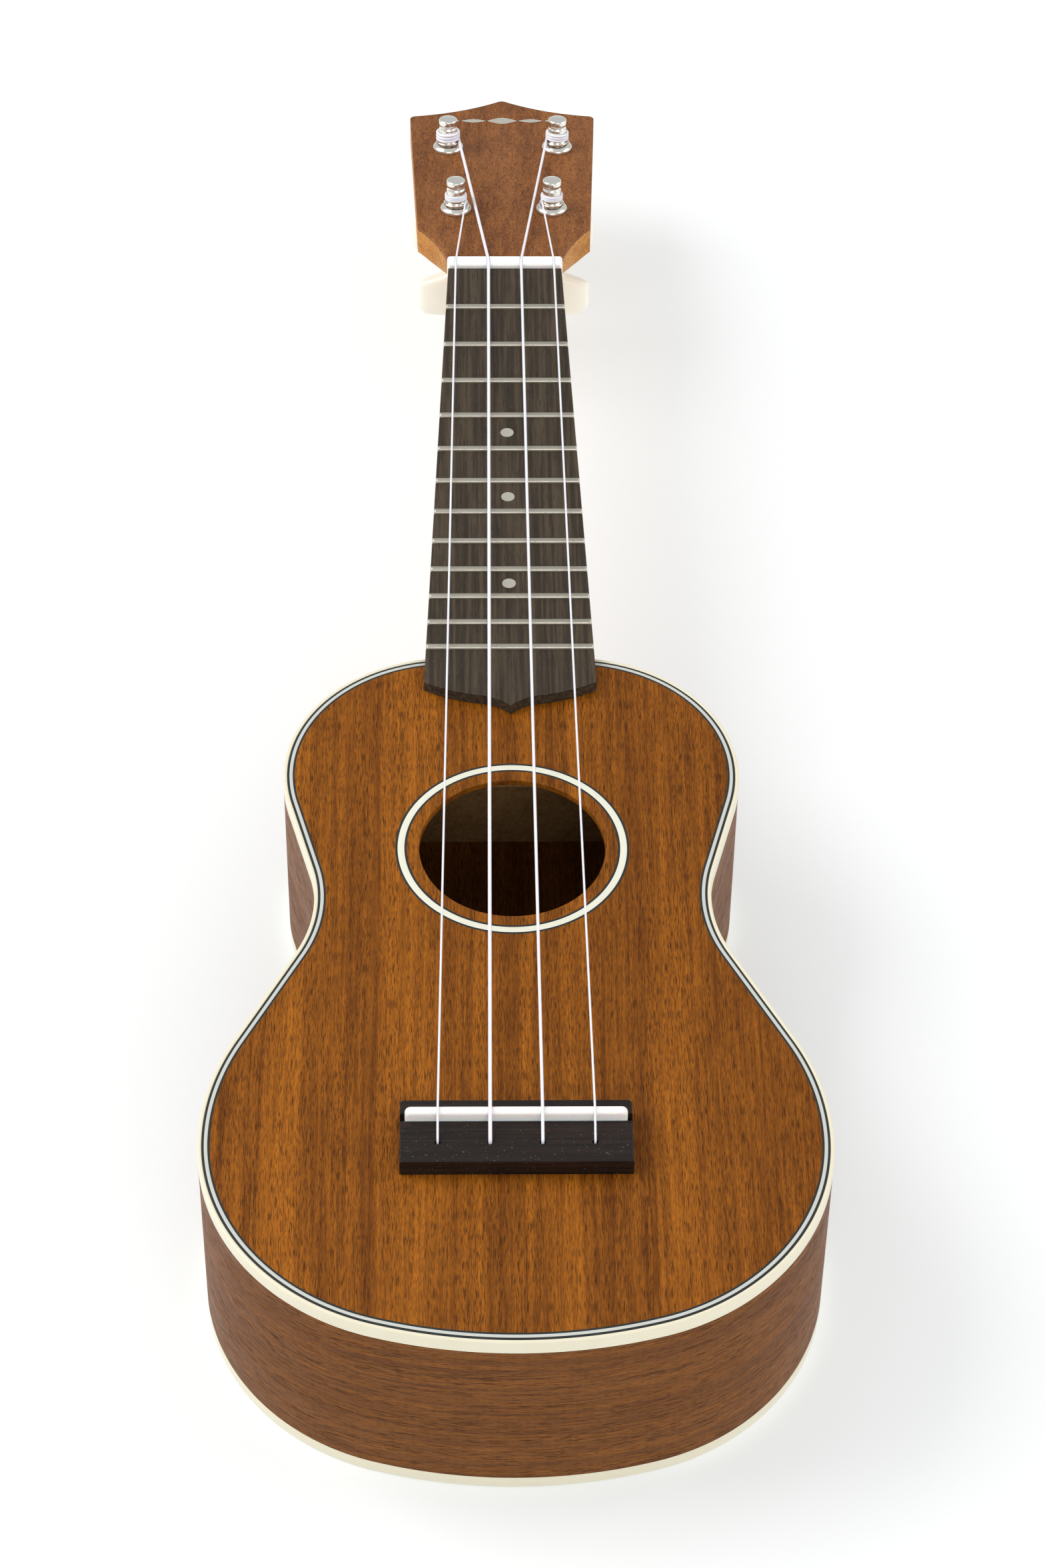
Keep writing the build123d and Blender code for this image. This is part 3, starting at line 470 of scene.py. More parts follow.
def softened(name, node, finish, body="body", width=0.25, segments=2, angle=32.0):
    """A copy of a CAD node with its triangles merged into clean faces and its sharp edges rounded over."""
    work = bmesh.new()
    work.from_mesh(NODES[node].data)
    bmesh.ops.remove_doubles(work, verts=work.verts, dist=2e-6)
    bmesh.ops.dissolve_limit(work, angle_limit=radians(0.6), verts=work.verts, edges=work.edges)
    mesh = bpy.data.meshes.new(name)
    work.to_mesh(mesh)
    work.free()
    mesh.shade_smooth()
    mesh.set_sharp_from_angle(angle=radians(angle))
    piece = add_piece(name, mesh, finish, body, (node,))
    bevel = piece.modifiers.new("rounded edges", "BEVEL")
    bevel.width = width * MM
    bevel.segments = segments
    bevel.limit_method = "ANGLE"
    bevel.angle_limit = radians(angle)
    bevel.harden_normals = False
    bevel.use_clamp_overlap = True
    return piece


def arc_points(centre, radius, start, end, step, hollow=False):
    """Points and outward normals along an arc: centre plus radius times the angle's cosine and sine."""
    count = max(3, int(abs(end - start) * radius / step) + 1)
    angle = np.linspace(start, end, count)
    ray = np.stack([np.cos(angle), np.sin(angle)], -1)
    return np.asarray(centre) + radius * ray, -ray if hollow else ray


def straight_points(start, end, normal, step):
    """Points along a straight run, all with one normal."""
    count = max(3, int(np.linalg.norm(np.subtract(end, start)) / step) + 1)
    share = np.linspace(0, 1, count)[:, None]
    return np.asarray(start) * (1 - share) + np.asarray(end) * share, np.repeat([normal], count, 0)


def tangent_angle(convex, hollow, convex_radius, hollow_radius):
    """Angle where the straight between a round and a hollow arc leaves the round one: the direction of
    the line of centres less the angle whose cosine is the sum of radii over their distance."""
    dx, dy = hollow[0] - convex[0], abs(hollow[1] - convex[1])
    return atan2(dy, dx) - acos((convex_radius + hollow_radius) / hypot(dx, dy))


def half_outline():
    """Right half of the body's edge from the tail to the neck: points, outward normals and distance run."""
    size = bpy.context.scene.uke_body
    step = size.edge_step
    half_lower, half_waist, half_upper = TRIM_HIGH.x, size.waist_width / 2, size.upper_width / 2
    neck_y = TRIM_HIGH.y
    upper_y = neck_y - size.upper_neck_radius
    waist_y = upper_y - size.upper_rise
    lower_y = waist_y - size.waist_rise
    tail = (0.0, TRIM_LOW.y + size.tail_radius)
    lower_tail = (half_lower - size.lower_tail_radius, lower_y)
    lower_waist = (half_lower - size.lower_waist_radius, lower_y)
    waist_tail = (half_waist + size.waist_tail_radius, waist_y)
    waist_neck = (half_waist + size.waist_neck_radius, waist_y)
    upper_tail = (half_upper - size.upper_tail_radius, upper_y)
    upper_neck = (half_upper - size.upper_neck_radius, upper_y)
    join = atan2(lower_tail[1] - tail[1], lower_tail[0] - tail[0])
    below = tangent_angle(lower_waist, waist_tail, size.lower_waist_radius, size.waist_tail_radius)
    above = tangent_angle(upper_tail, waist_neck, size.upper_tail_radius, size.waist_neck_radius)
    chain = [
        arc_points(tail, size.tail_radius, -pi / 2, join, step),
        arc_points(lower_tail, size.lower_tail_radius, join, 0, step),
        arc_points(lower_waist, size.lower_waist_radius, 0, below, step),
        arc_points(waist_tail, size.waist_tail_radius, below + pi, pi, step, True),
        arc_points(waist_neck, size.waist_neck_radius, pi, pi - above, step, True),
        arc_points(upper_tail, size.upper_tail_radius, -above, 0, step),
        arc_points(upper_neck, size.upper_neck_radius, 0, pi / 2, step),
    ]
    for place in (3, 6):
        before, after = chain[place - 1], chain[place]
        chain.insert(place, straight_points(before[0][-1], after[0][0], before[1][-1], step))
    chain.append(straight_points(chain[-1][0][-1], (0.0, neck_y), (0.0, 1.0), step))
    points = np.concatenate([chain[0][0]] + [part[0][1:] for part in chain[1:]])
    normals = np.concatenate([chain[0][1]] + [part[1][1:] for part in chain[1:]])
    run = np.concatenate([[0], np.cumsum(np.linalg.norm(np.diff(points, axis=0), axis=1))])
    return points, normals, run


def full_outline():
    """The whole edge: the right half, then its mirror image back to the tail."""
    points, normals, run = half_outline()
    mirror = np.array([-1.0, 1.0])
    points = np.concatenate([points, points[-2:0:-1] * mirror])
    normals = np.concatenate([normals, normals[-2:0:-1] * mirror])
    return points, normals, np.concatenate([run, 2 * run[-1] - run[-2::-1]])


def band(points, normals, section, run=None, closed=True):
    """A strip that follows the edge. Each section point is (inset, height): the ring at an edge point is
    that point less its normal times the inset, at the height."""
    section = np.asarray(section, float)
    plan = points[:, None, :] - normals[:, None, :] * section[None, :, :1]
    height = np.broadcast_to(section[None, :, 1:], plan.shape[:2] + (1,))
    girth = np.linalg.norm(np.diff(section, axis=0, append=section[:1]), axis=1)
    around = np.concatenate([[0], np.cumsum(girth)])
    return skin(np.concatenate([plan, height], -1), closed, run, around)


def rounded_section(low, high, rounding, steps=4):
    """A rectangle between two (inset, height) corners with quarter-round corners."""
    low, high = np.minimum(low, high), np.maximum(low, high)
    inner_low, inner_high = low + rounding, high - rounding
    corners = [(inner_high[0], inner_high[1], 0), (inner_low[0], inner_high[1], 1),
               (inner_low[0], inner_low[1], 2), (inner_high[0], inner_low[1], 3)]
    turns = [np.linspace(q, q + 1, steps) * pi / 2 for _, _, q in corners]
    return np.concatenate([
        np.stack([x + rounding * np.cos(turn), y + rounding * np.sin(turn)], -1)
        for (x, y, _), turn in zip(corners, turns)
    ])


def plate(outline, inset, bottom, top, centre, profile=(), rows=10):
    """A plate under the whole outline. A ring is a share of the way from a circle about the centre to the
    edge. The profile lists (radius, height) circles from the inside out, such as a rounded hole and a
    channel, and the rings after it blend straight out to the edge, over the top and back underneath."""
    points, normals, _ = outline
    edge = points - normals * inset
    ray = edge - centre
    ray /= np.linalg.norm(ray, axis=1)[:, None]
    profile = np.asarray(profile if len(profile) else [(0.5 * MM, top)], float)
    level = np.ones((len(profile), len(ray), 1)) * profile[:, 1][:, None, None]
    circles = np.concatenate([centre + ray[None] * profile[:, :1][:, :, None], level], -1)
    share = np.linspace(0, 1, rows)[1:, None, None]
    edge_top = np.concatenate([edge, np.full((len(edge), 1), top)], 1)
    face = circles[-1][None] * (1 - share) + edge_top[None] * share
    under_start = np.concatenate([centre + ray * profile[0, 0], np.full((len(ray), 1), bottom)], 1)
    under = np.concatenate([edge, np.full((len(edge), 1), bottom)], 1)
    back = under[None] * (1 - share) + under_start[None] * share
    closed = profile[0, 0] > 1 * MM
    rings = np.concatenate([circles, face, under[None], back])
    return skin(rings, closed_path=closed)


def circle_band(centre, section, steps=220):
    """A hoop: a section carried round a circle, each point at its own radius and height."""
    angle = np.linspace(0, 2 * pi, steps, endpoint=False)
    ray = np.stack([np.cos(angle), np.sin(angle)], -1)
    origin = np.broadcast_to(np.asarray(centre, float), ray.shape)
    return band(origin, -ray, section)


def turned(profile, place, facets):
    """A solid turned about a peg's axis: each profile point is (radius, height) along the axis. The place
    is a 4 by 4 matrix from the peg's own axes to the frame."""
    profile = np.asarray(profile, float)
    angle = np.linspace(0, 2 * pi, facets, endpoint=False)
    rings = np.stack([
        profile[:, :1] * np.cos(angle), profile[:, :1] * np.sin(angle), np.repeat(profile[:, 1:], facets, 1)
    ], -1)
    return skin(carried(rings, place))


def carried(points, place):
    """Points moved by a 4 by 4 matrix."""
    matrix = np.array(place)
    return points @ matrix[:3, :3].T + matrix[:3, 3]


def tube(path, radius, sides, reference):
    """A round tube along a path. Each ring lies square to the path: its first axis is the reference less
    its part along the path, its second the cross product of the two. The radius may vary along it."""
    heading = np.gradient(path, axis=0)
    heading /= np.linalg.norm(heading, axis=1)[:, None]
    first = reference - heading * (heading @ reference)[:, None]
    first /= np.linalg.norm(first, axis=1)[:, None]
    second = np.cross(heading, first)
    angle = np.linspace(0, 2 * pi, sides, endpoint=False)[None, :, None]
    girth = np.broadcast_to(radius, len(path))[:, None, None]
    return skin(path[:, None] + girth * (first[:, None] * np.cos(angle) + second[:, None] * np.sin(angle)))


def eased_path(corners, radii, spacing=4 * MM, bend_steps=10):
    """Straight runs joined by tangent arcs. At each corner the arc starts a tangent length, radius times
    the tangent of half the turn, before it, and its points follow the circle that touches both runs."""
    corners = [np.asarray(c, float) for c in corners]
    path = [corners[0][None]]
    for before, here, after, radius in zip(corners, corners[1:], corners[2:], radii):
        incoming = (here - before) / np.linalg.norm(here - before)
        outgoing = (after - here) / np.linalg.norm(after - here)
        turn = acos(float(np.clip(incoming @ outgoing, -1, 1)))
        setback = radius * np.tan(turn / 2)
        side = outgoing - incoming * (incoming @ outgoing)
        side /= np.linalg.norm(side)
        angle = np.linspace(0, turn, bend_steps)[:, None]
        start = here - incoming * setback
        path.append(start + radius * (incoming * np.sin(angle) + side * (1 - np.cos(angle))))
    path.append(corners[-1][None])
    path = np.concatenate(path)
    run = np.concatenate([[0], np.cumsum(np.linalg.norm(np.diff(path, axis=0), axis=1))])
    extra = np.arange(spacing, run[-1], spacing)
    stations = np.unique(np.round(np.concatenate([run, extra]), 7))
    return np.stack([np.interp(stations, run, path[:, k]) for k in range(3)], -1)


def plan_radii(node, centre):
    """Distances of a CAD node's points from a centre, seen from above."""
    points = np.array([v.co for v in NODES[node].data.vertices])
    return np.linalg.norm(points[:, :2] - np.asarray(centre), axis=1)


# ---- places on the head -------------------------------------------------------------------------
def peg_frames():
    """For each string, its peg's joint as a matrix: origin on the head's face, third axis along the peg."""
    frames = {}
    for joint in frame["joints"]:
        name = joint["name"].split("_")[1]
        axis = Vector(joint["axis"]).normalized()
        side = Vector((1, 0, 0))
        up = axis.cross(side)
        turn = Matrix((side, up, axis)).transposed().to_4x4()
        frames[name] = Matrix.Translation(Vector(joint["pos_m"])) @ turn
    return frames


def face_frame():
    """The head's face: origin on the centreline level with the first peg, third axis out of the face."""
    left, right = peg_frames()["g"], peg_frames()["a"]
    middle = (left.translation + right.translation) / 2
    return Matrix.Translation(middle) @ left.to_3x3().to_4x4()


# ---- operators: one for each piece or group -------------------------------------------------------
class UKE_OT_sound_box(bpy.types.Operator):
    """Make the soundboard with its sound hole, the two ribs and the back"""

    bl_idname = "uke.sound_box"
    bl_label = "Sound Box"

    def execute(self, context):
        size = context.scene.uke_body
        outline = full_outline()
        board_low, board_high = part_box("soundboard")
        ring_low, ring_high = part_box("rosette_lines")
        centre = np.array([(ring_low.x + ring_high.x) / 2, (ring_low.y + ring_high.y) / 2])
        hole = plan_radii("soundboard", centre).min()
        line_radii = plan_radii("rosette_lines", centre)
        line_inner, line_outer = line_radii.min(), line_radii.max()
        inset = TRIM_HIGH.x - board_high.x
        turn = np.linspace(0, pi / 2, 5)
        rounding = size.edge_rounding
        rim = np.stack([
            hole + rounding * (1 - np.cos(turn)), board_high.z - rounding * (1 - np.sin(turn))
        ], -1)
        channel = [(line_inner, board_high.z), (line_inner, ring_low.z), (line_outer, ring_low.z),
                   (line_outer, board_high.z)]
        profile = np.concatenate([rim, channel])
        top = plate(outline, inset, board_low.z, board_high.z, centre, profile, 24)
        made_piece("soundboard_plate", [top], "top_mahogany", "body", ("soundboard",))
        back_low, back_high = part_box("back_plate")
        back = plate(outline, TRIM_HIGH.x - back_high.x, back_low.z, back_high.z, centre)
        made_piece("back_panel", [back], "back_mahogany", "body", ("back_plate",))
        points, normals, run = half_outline()
        top_edge, back_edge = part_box("top_binding")[0].z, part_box("back_binding")[1].z
        step_in, wall = TRIM_HIGH.x - back_high.x, size.rib_thickness
        section = [
            (0, back_edge), (0, top_edge), (step_in, top_edge), (step_in, board_low.z), (wall, board_low.z),
            (wall, back_high.z), (step_in, back_high.z), (step_in, back_edge),
        ]
        for side, name in ((1, "right_rib"), (-1, "left_rib")):
            mirror = np.array([side, 1.0])
            wall_skin = band(points * mirror, normals * mirror, section, side * run, closed=False)
            made_piece(f"{name}_wall", [wall_skin], "side_mahogany", "body", (name,))
        return {"FINISHED"}


class UKE_OT_edge_trim(bpy.types.Operator):
    """Make the bindings and the dark and white lines let into the edge of the top"""

    bl_idname = "uke.edge_trim"
    bl_label = "Edge Trim"

    def execute(self, context):
        points, normals, run = full_outline()
        finishes = {
            "top_binding": ("cream_binding", 0.35), "back_binding": ("cream_binding", 0.35),
            "outer_dark_line": ("dark_line", 0.04), "white_line": ("white_line", 0.04),
            "inner_dark_line": ("dark_line", 0.04),
        }
        inset = {"top_binding": 0.0, "back_binding": 0.0}
        for name in ("outer_dark_line", "white_line", "inner_dark_line"):
            inset[name] = TRIM_HIGH.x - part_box(name)[1].x
        inner = {
            "outer_dark_line": inset["white_line"], "white_line": inset["inner_dark_line"],
            "inner_dark_line": TRIM_HIGH.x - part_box("soundboard")[1].x,
            "top_binding": inset["outer_dark_line"], "back_binding": inset["outer_dark_line"],
        }
        for name, (finish, rounding) in finishes.items():
            low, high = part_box(name)
            section = rounded_section((inset[name], low.z), (inner[name], high.z), rounding * MM)
            strip = band(points, normals, section, run)
            made_piece(f"{name}_strip", [strip], finish, "body", (name,))
        return {"FINISHED"}


class UKE_OT_rosette(bpy.types.Operator):
    """Make the cream band and thin dark lines round the sound hole"""

    bl_idname = "uke.rosette"
    bl_label = "Rosette"

    def execute(self, context):
        band_low, band_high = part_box("rosette_band")
        line_low, line_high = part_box("rosette_lines")
        centre = ((band_low.x + band_high.x) / 2, (band_low.y + band_high.y) / 2)
        outer, line = (band_high.x - band_low.x) / 2, (line_high.x - band_high.x)
        inner = plan_radii("rosette_band", centre).min()
        rounding, shared = 0.04 * MM, 0.12 * MM
        inner, outer, line = inner + shared, outer - shared, line + shared
        cream = rounded_section((inner, band_low.z), (outer, band_high.z), rounding)
        dark = [
            rounded_section((inner - line, line_low.z), (inner, line_high.z), rounding),
            rounded_section((outer, line_low.z), (outer + line, line_high.z), rounding),
        ]
        made_piece("rosette_hoop", [circle_band(centre, cream)], "rosette_cream", "body", ("rosette_band",))
        hoops = [circle_band(centre, section) for section in dark]
        made_piece("rosette_edges", hoops, "dark_line", "body", ("rosette_lines",))
        return {"FINISHED"}


class UKE_OT_inner_woodwork(bpy.types.Operator):
    """Dress the blocks, linings, braces and dowels inside the body"""

    bl_idname = "uke.inner_woodwork"
    bl_label = "Inner Woodwork"

    def execute(self, context):
        for node in ("neck_block", "tail_block", "top_lining", "back_lining", "top_braces", "back_braces",
                     "bridge_patch", "neck_dowels"):
            dress(node, "inner_wood")
        return {"FINISHED"}


class UKE_OT_neck(bpy.types.Operator):
    """Finish the neck with its heel and head, and the veneer on it"""

    bl_idname = "uke.neck"
    bl_label = "Neck and Head"

    def execute(self, context):
        softened("neck_wood", "neck", "neck_mahogany", width=0.5, segments=3, angle=40)
        softened("head_face", "head_veneer", "veneer_mahogany", width=0.25)
        return {"FINISHED"}


class UKE_OT_ornament(bpy.types.Operator):
    """Make the plain pearl leaf pattern let into the head's face"""

    bl_idname = "uke.ornament"
    bl_label = "Head Ornament"

    def execute(self, context):
        base = face_frame()
        leaf_row = 64.5
        leaves = [(0.0, 5.0, 2.3), (-9.6, 4.2, 1.3), (9.6, 4.2, 1.3), (-15.6, 1.2, 0.7), (15.6, 1.2, 0.7)]
        side_point, end_point = 0.35, 0.9
        share_and_height = ((1.0, -0.3), (1.0, 0.01), (0.94, 0.04), (0.5, 0.045))
        angle = np.linspace(0, 2 * pi, 72, endpoint=False)
        skins = []
        for x, half_width, half_height in leaves:
            middle = (x, leaf_row)
            rim = np.stack([
                half_width * np.cos(angle) * np.abs(np.cos(angle)) ** side_point,
                half_height * np.sin(angle) * np.abs(np.sin(angle)) ** end_point,
            ], -1)
            rings = [
                np.concatenate([rim * share + middle, np.full((len(rim), 1), height)], -1)
                for share, height in share_and_height
            ]
            skins.append(skin(carried(np.array(rings) * MM, base)))
        made_piece("head_ornament", skins, "pearl")
        return {"FINISHED"}


class UKE_OT_fretboard(bpy.types.Operator):
    """Finish the fretboard, its dots and the nut"""

    bl_idname = "uke.fretboard"
    bl_label = "Fretboard and Nut"

    def execute(self, context):
        softened("fretboard_wood", "fretboard", "fretboard_rosewood", width=0.15)
        dress("fret_dots", "pearl")
        softened("nut_bone", "nut", "bone", width=0.12)
        return {"FINISHED"}


class UKE_OT_frets(bpy.types.Operator):
    """Make the frets: half-oval crowns with bevelled ends on tangs let into the board"""

    bl_idname = "uke.frets"
    bl_label = "Frets"

    def execute(self, context):
        mesh = NODES["frets"].data
        board_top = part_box("fretboard")[1].z
        vertices = np.array([v.co for v in mesh.vertices])
        slack, least_spacing, bevel, overhang, tang_depth = 0.05 * MM, 3 * MM, 0.6 * MM, 0.2 * MM, 1.6 * MM
        crowns = vertices[vertices[:, 2] > board_top - slack]
        order = np.sort(crowns[:, 1])
        groups = np.split(order, np.where(np.diff(order) > least_spacing)[0] + 1)
        height = vertices[:, 2].max() - board_top
        turn = np.linspace(0, pi, 13)
        share = np.linspace(0, 1, 6)
        grow = np.sqrt(np.clip(1 - (1 - share) ** 2, 0.02, 1))
        scale = np.concatenate([grow, grow[::-1]])
        skins = []
        for group in groups:
            middle, half_width = (group.min() + group.max()) / 2, (group.max() - group.min()) / 2
            half = crowns[np.abs(crowns[:, 1] - middle) < least_spacing / 2, 0].max()
            x = np.concatenate([-half + bevel * share, half - bevel * share[::-1]])
            y = middle + np.outer(0.86 + 0.14 * scale, half_width * np.cos(turn))
            z = board_top + 0.02 * MM + height * np.outer(scale, np.sin(turn) ** 0.8)
            rings = np.stack([np.broadcast_to(x[:, None], y.shape), y, z], -1)
            under = rings[:, [-1, 0]] - np.array([0, 0, 0.08 * MM])
            skins.append(skin(np.concatenate([rings, under], 1)))
            blade = np.array([(-1, -1), (1, -1), (1, 0.01), (-1, 0.01)]) * (half_width / 4, tang_depth)
            blade += (middle, board_top)
            ends = [np.insert(blade, 0, side * (half - overhang), axis=1) for side in (-1, 1)]
            skins.append(skin(np.array(ends)))
        made_piece("fret_wires", skins, "fret_metal", "body", ("frets",))
        return {"FINISHED"}


class UKE_OT_bridge(bpy.types.Operator):
    """Finish the bridge and the saddle"""

    bl_idname = "uke.bridge"
    bl_label = "Bridge and Saddle"

    def execute(self, context):
        softened("bridge_wood", "bridge", "bridge_rosewood", width=0.25)
        softened("saddle_bone", "saddle", "bone", width=0.2)
        return {"FINISHED"}


class UKE_OT_strings(bpy.types.Operator):
    """Make the four strings with their knots, and the windings that turn with the posts"""

    bl_idname = "uke.strings"
    bl_label = "Strings"

    def knot(self, centre, radius):
        """A three-lobed knot: the curve (sin t + 2 sin 2t, cos t - 2 cos 2t, -sin 3t), scaled down."""
        scale, depth, facets = 0.42 * MM, 1.3, 10
        t = np.linspace(0, 2 * pi, 73)
        lobes = [np.sin(t) + 2 * np.sin(2 * t), np.cos(t) - 2 * np.cos(2 * t), -np.sin(3 * t) * depth]
        return tube(np.stack(lobes, -1) * scale + centre, radius, facets, np.array([0.02, 0.01, 1.0]))

    def execute(self, context):
        size, peg = context.scene.uke_strings, context.scene.uke_pegs
        saddle_low, saddle_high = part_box("saddle")
        nut_low, nut_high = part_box("nut")
        bridge_high, patch_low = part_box("bridge")[1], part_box("bridge_patch")[0]
        knot_radius, knot_drop, least_knot_gauge = 1.7 * MM, 1.6 * MM, 0.4 * MM
        rise_from_hole, crown_radius, gap = 0.5 * MM, 1.1 * MM, 0.02 * MM
        hole_bend, nut_bend = 1.0 * MM, 12 * MM
        turn_pitch, tuck_turns, tuck_depth, points_in_turn = 1.03, 0.22, 0.55, 40
        saddle_y = (saddle_low.y + saddle_high.y) / 2
        frames = peg_frames()
        for index, name in enumerate(STRING_NAMES):
            radius = size.gauges[index] / 2
            share = index / 3 - 0.5
            string_low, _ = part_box(f"string_{name}")
            hole_y, knot_z = string_low.y + knot_radius, string_low.z + knot_radius
            bend_z = bridge_high.z + rise_from_hole
            wrap = crown_radius + radius + gap
            climb = atan2(saddle_high.z + radius - bend_z, saddle_y - hole_y)
            crown_y = saddle_low.y + crown_radius - wrap * np.tan(climb / 2)
            over_nut = Vector((share * size.nut_span, (nut_low.y + nut_high.y) / 2, nut_high.z - radius / 2))
            place = frames[name]
            start = place.inverted() @ over_nut
            circle = peg.post_radius + radius
            distance = hypot(start.x, start.y)
            side = 1 if place.translation.x > 0 else -1
            heading = atan2(-start.y, -start.x) + side * asin(circle / distance)
            run = sqrt(distance**2 - circle**2)
            pitch = turn_pitch * 2 * radius
            low = peg.winding_height - pitch * size.winding_turns / 2
            touch = place @ Vector((start.x + run * cos(heading), start.y + run * sin(heading), low))
            x = share * size.saddle_span
            crown = (x, crown_y, saddle_high.z + radius + gap)
            corners = [(x, hole_y, knot_z), (x, hole_y, bend_z), crown, tuple(over_nut), tuple(touch)]
            path = eased_path(corners, (hole_bend, wrap, nut_bend))
            line = tube(path, radius, size.sides, np.array([1.0, 0.001, 0.002]))
            knot_place = np.array([x, hole_y, min(knot_z, patch_low.z - knot_drop)])
            knot = self.knot(knot_place, max(radius, least_knot_gauge))
            made_piece(f"string_{name}_line", [line, knot], "nylon", "body", (f"string_{name}",), 60)
            first = heading + side * pi / 2
            turns = np.linspace(0, size.winding_turns, int(size.winding_turns * points_in_turn))
            angle = first - side * 2 * pi * turns
            tuck = np.clip((turns - size.winding_turns + tuck_turns) / tuck_turns, 0, 1)
            reach = circle * (1 - tuck_depth * tuck**2)
            coil = np.stack([reach * np.cos(angle), reach * np.sin(angle), low + pitch * turns], -1)
            winding = tube(coil, radius, size.sides, np.array([0.0, 0.0, 1.0]))
            wound = (carried(winding[0], place),) + winding[1:]
            made_piece(f"winding_{name}_coil", [wound], "nylon", f"peg_{name}", (f"winding_{name}",), 60)
        return {"FINISHED"}


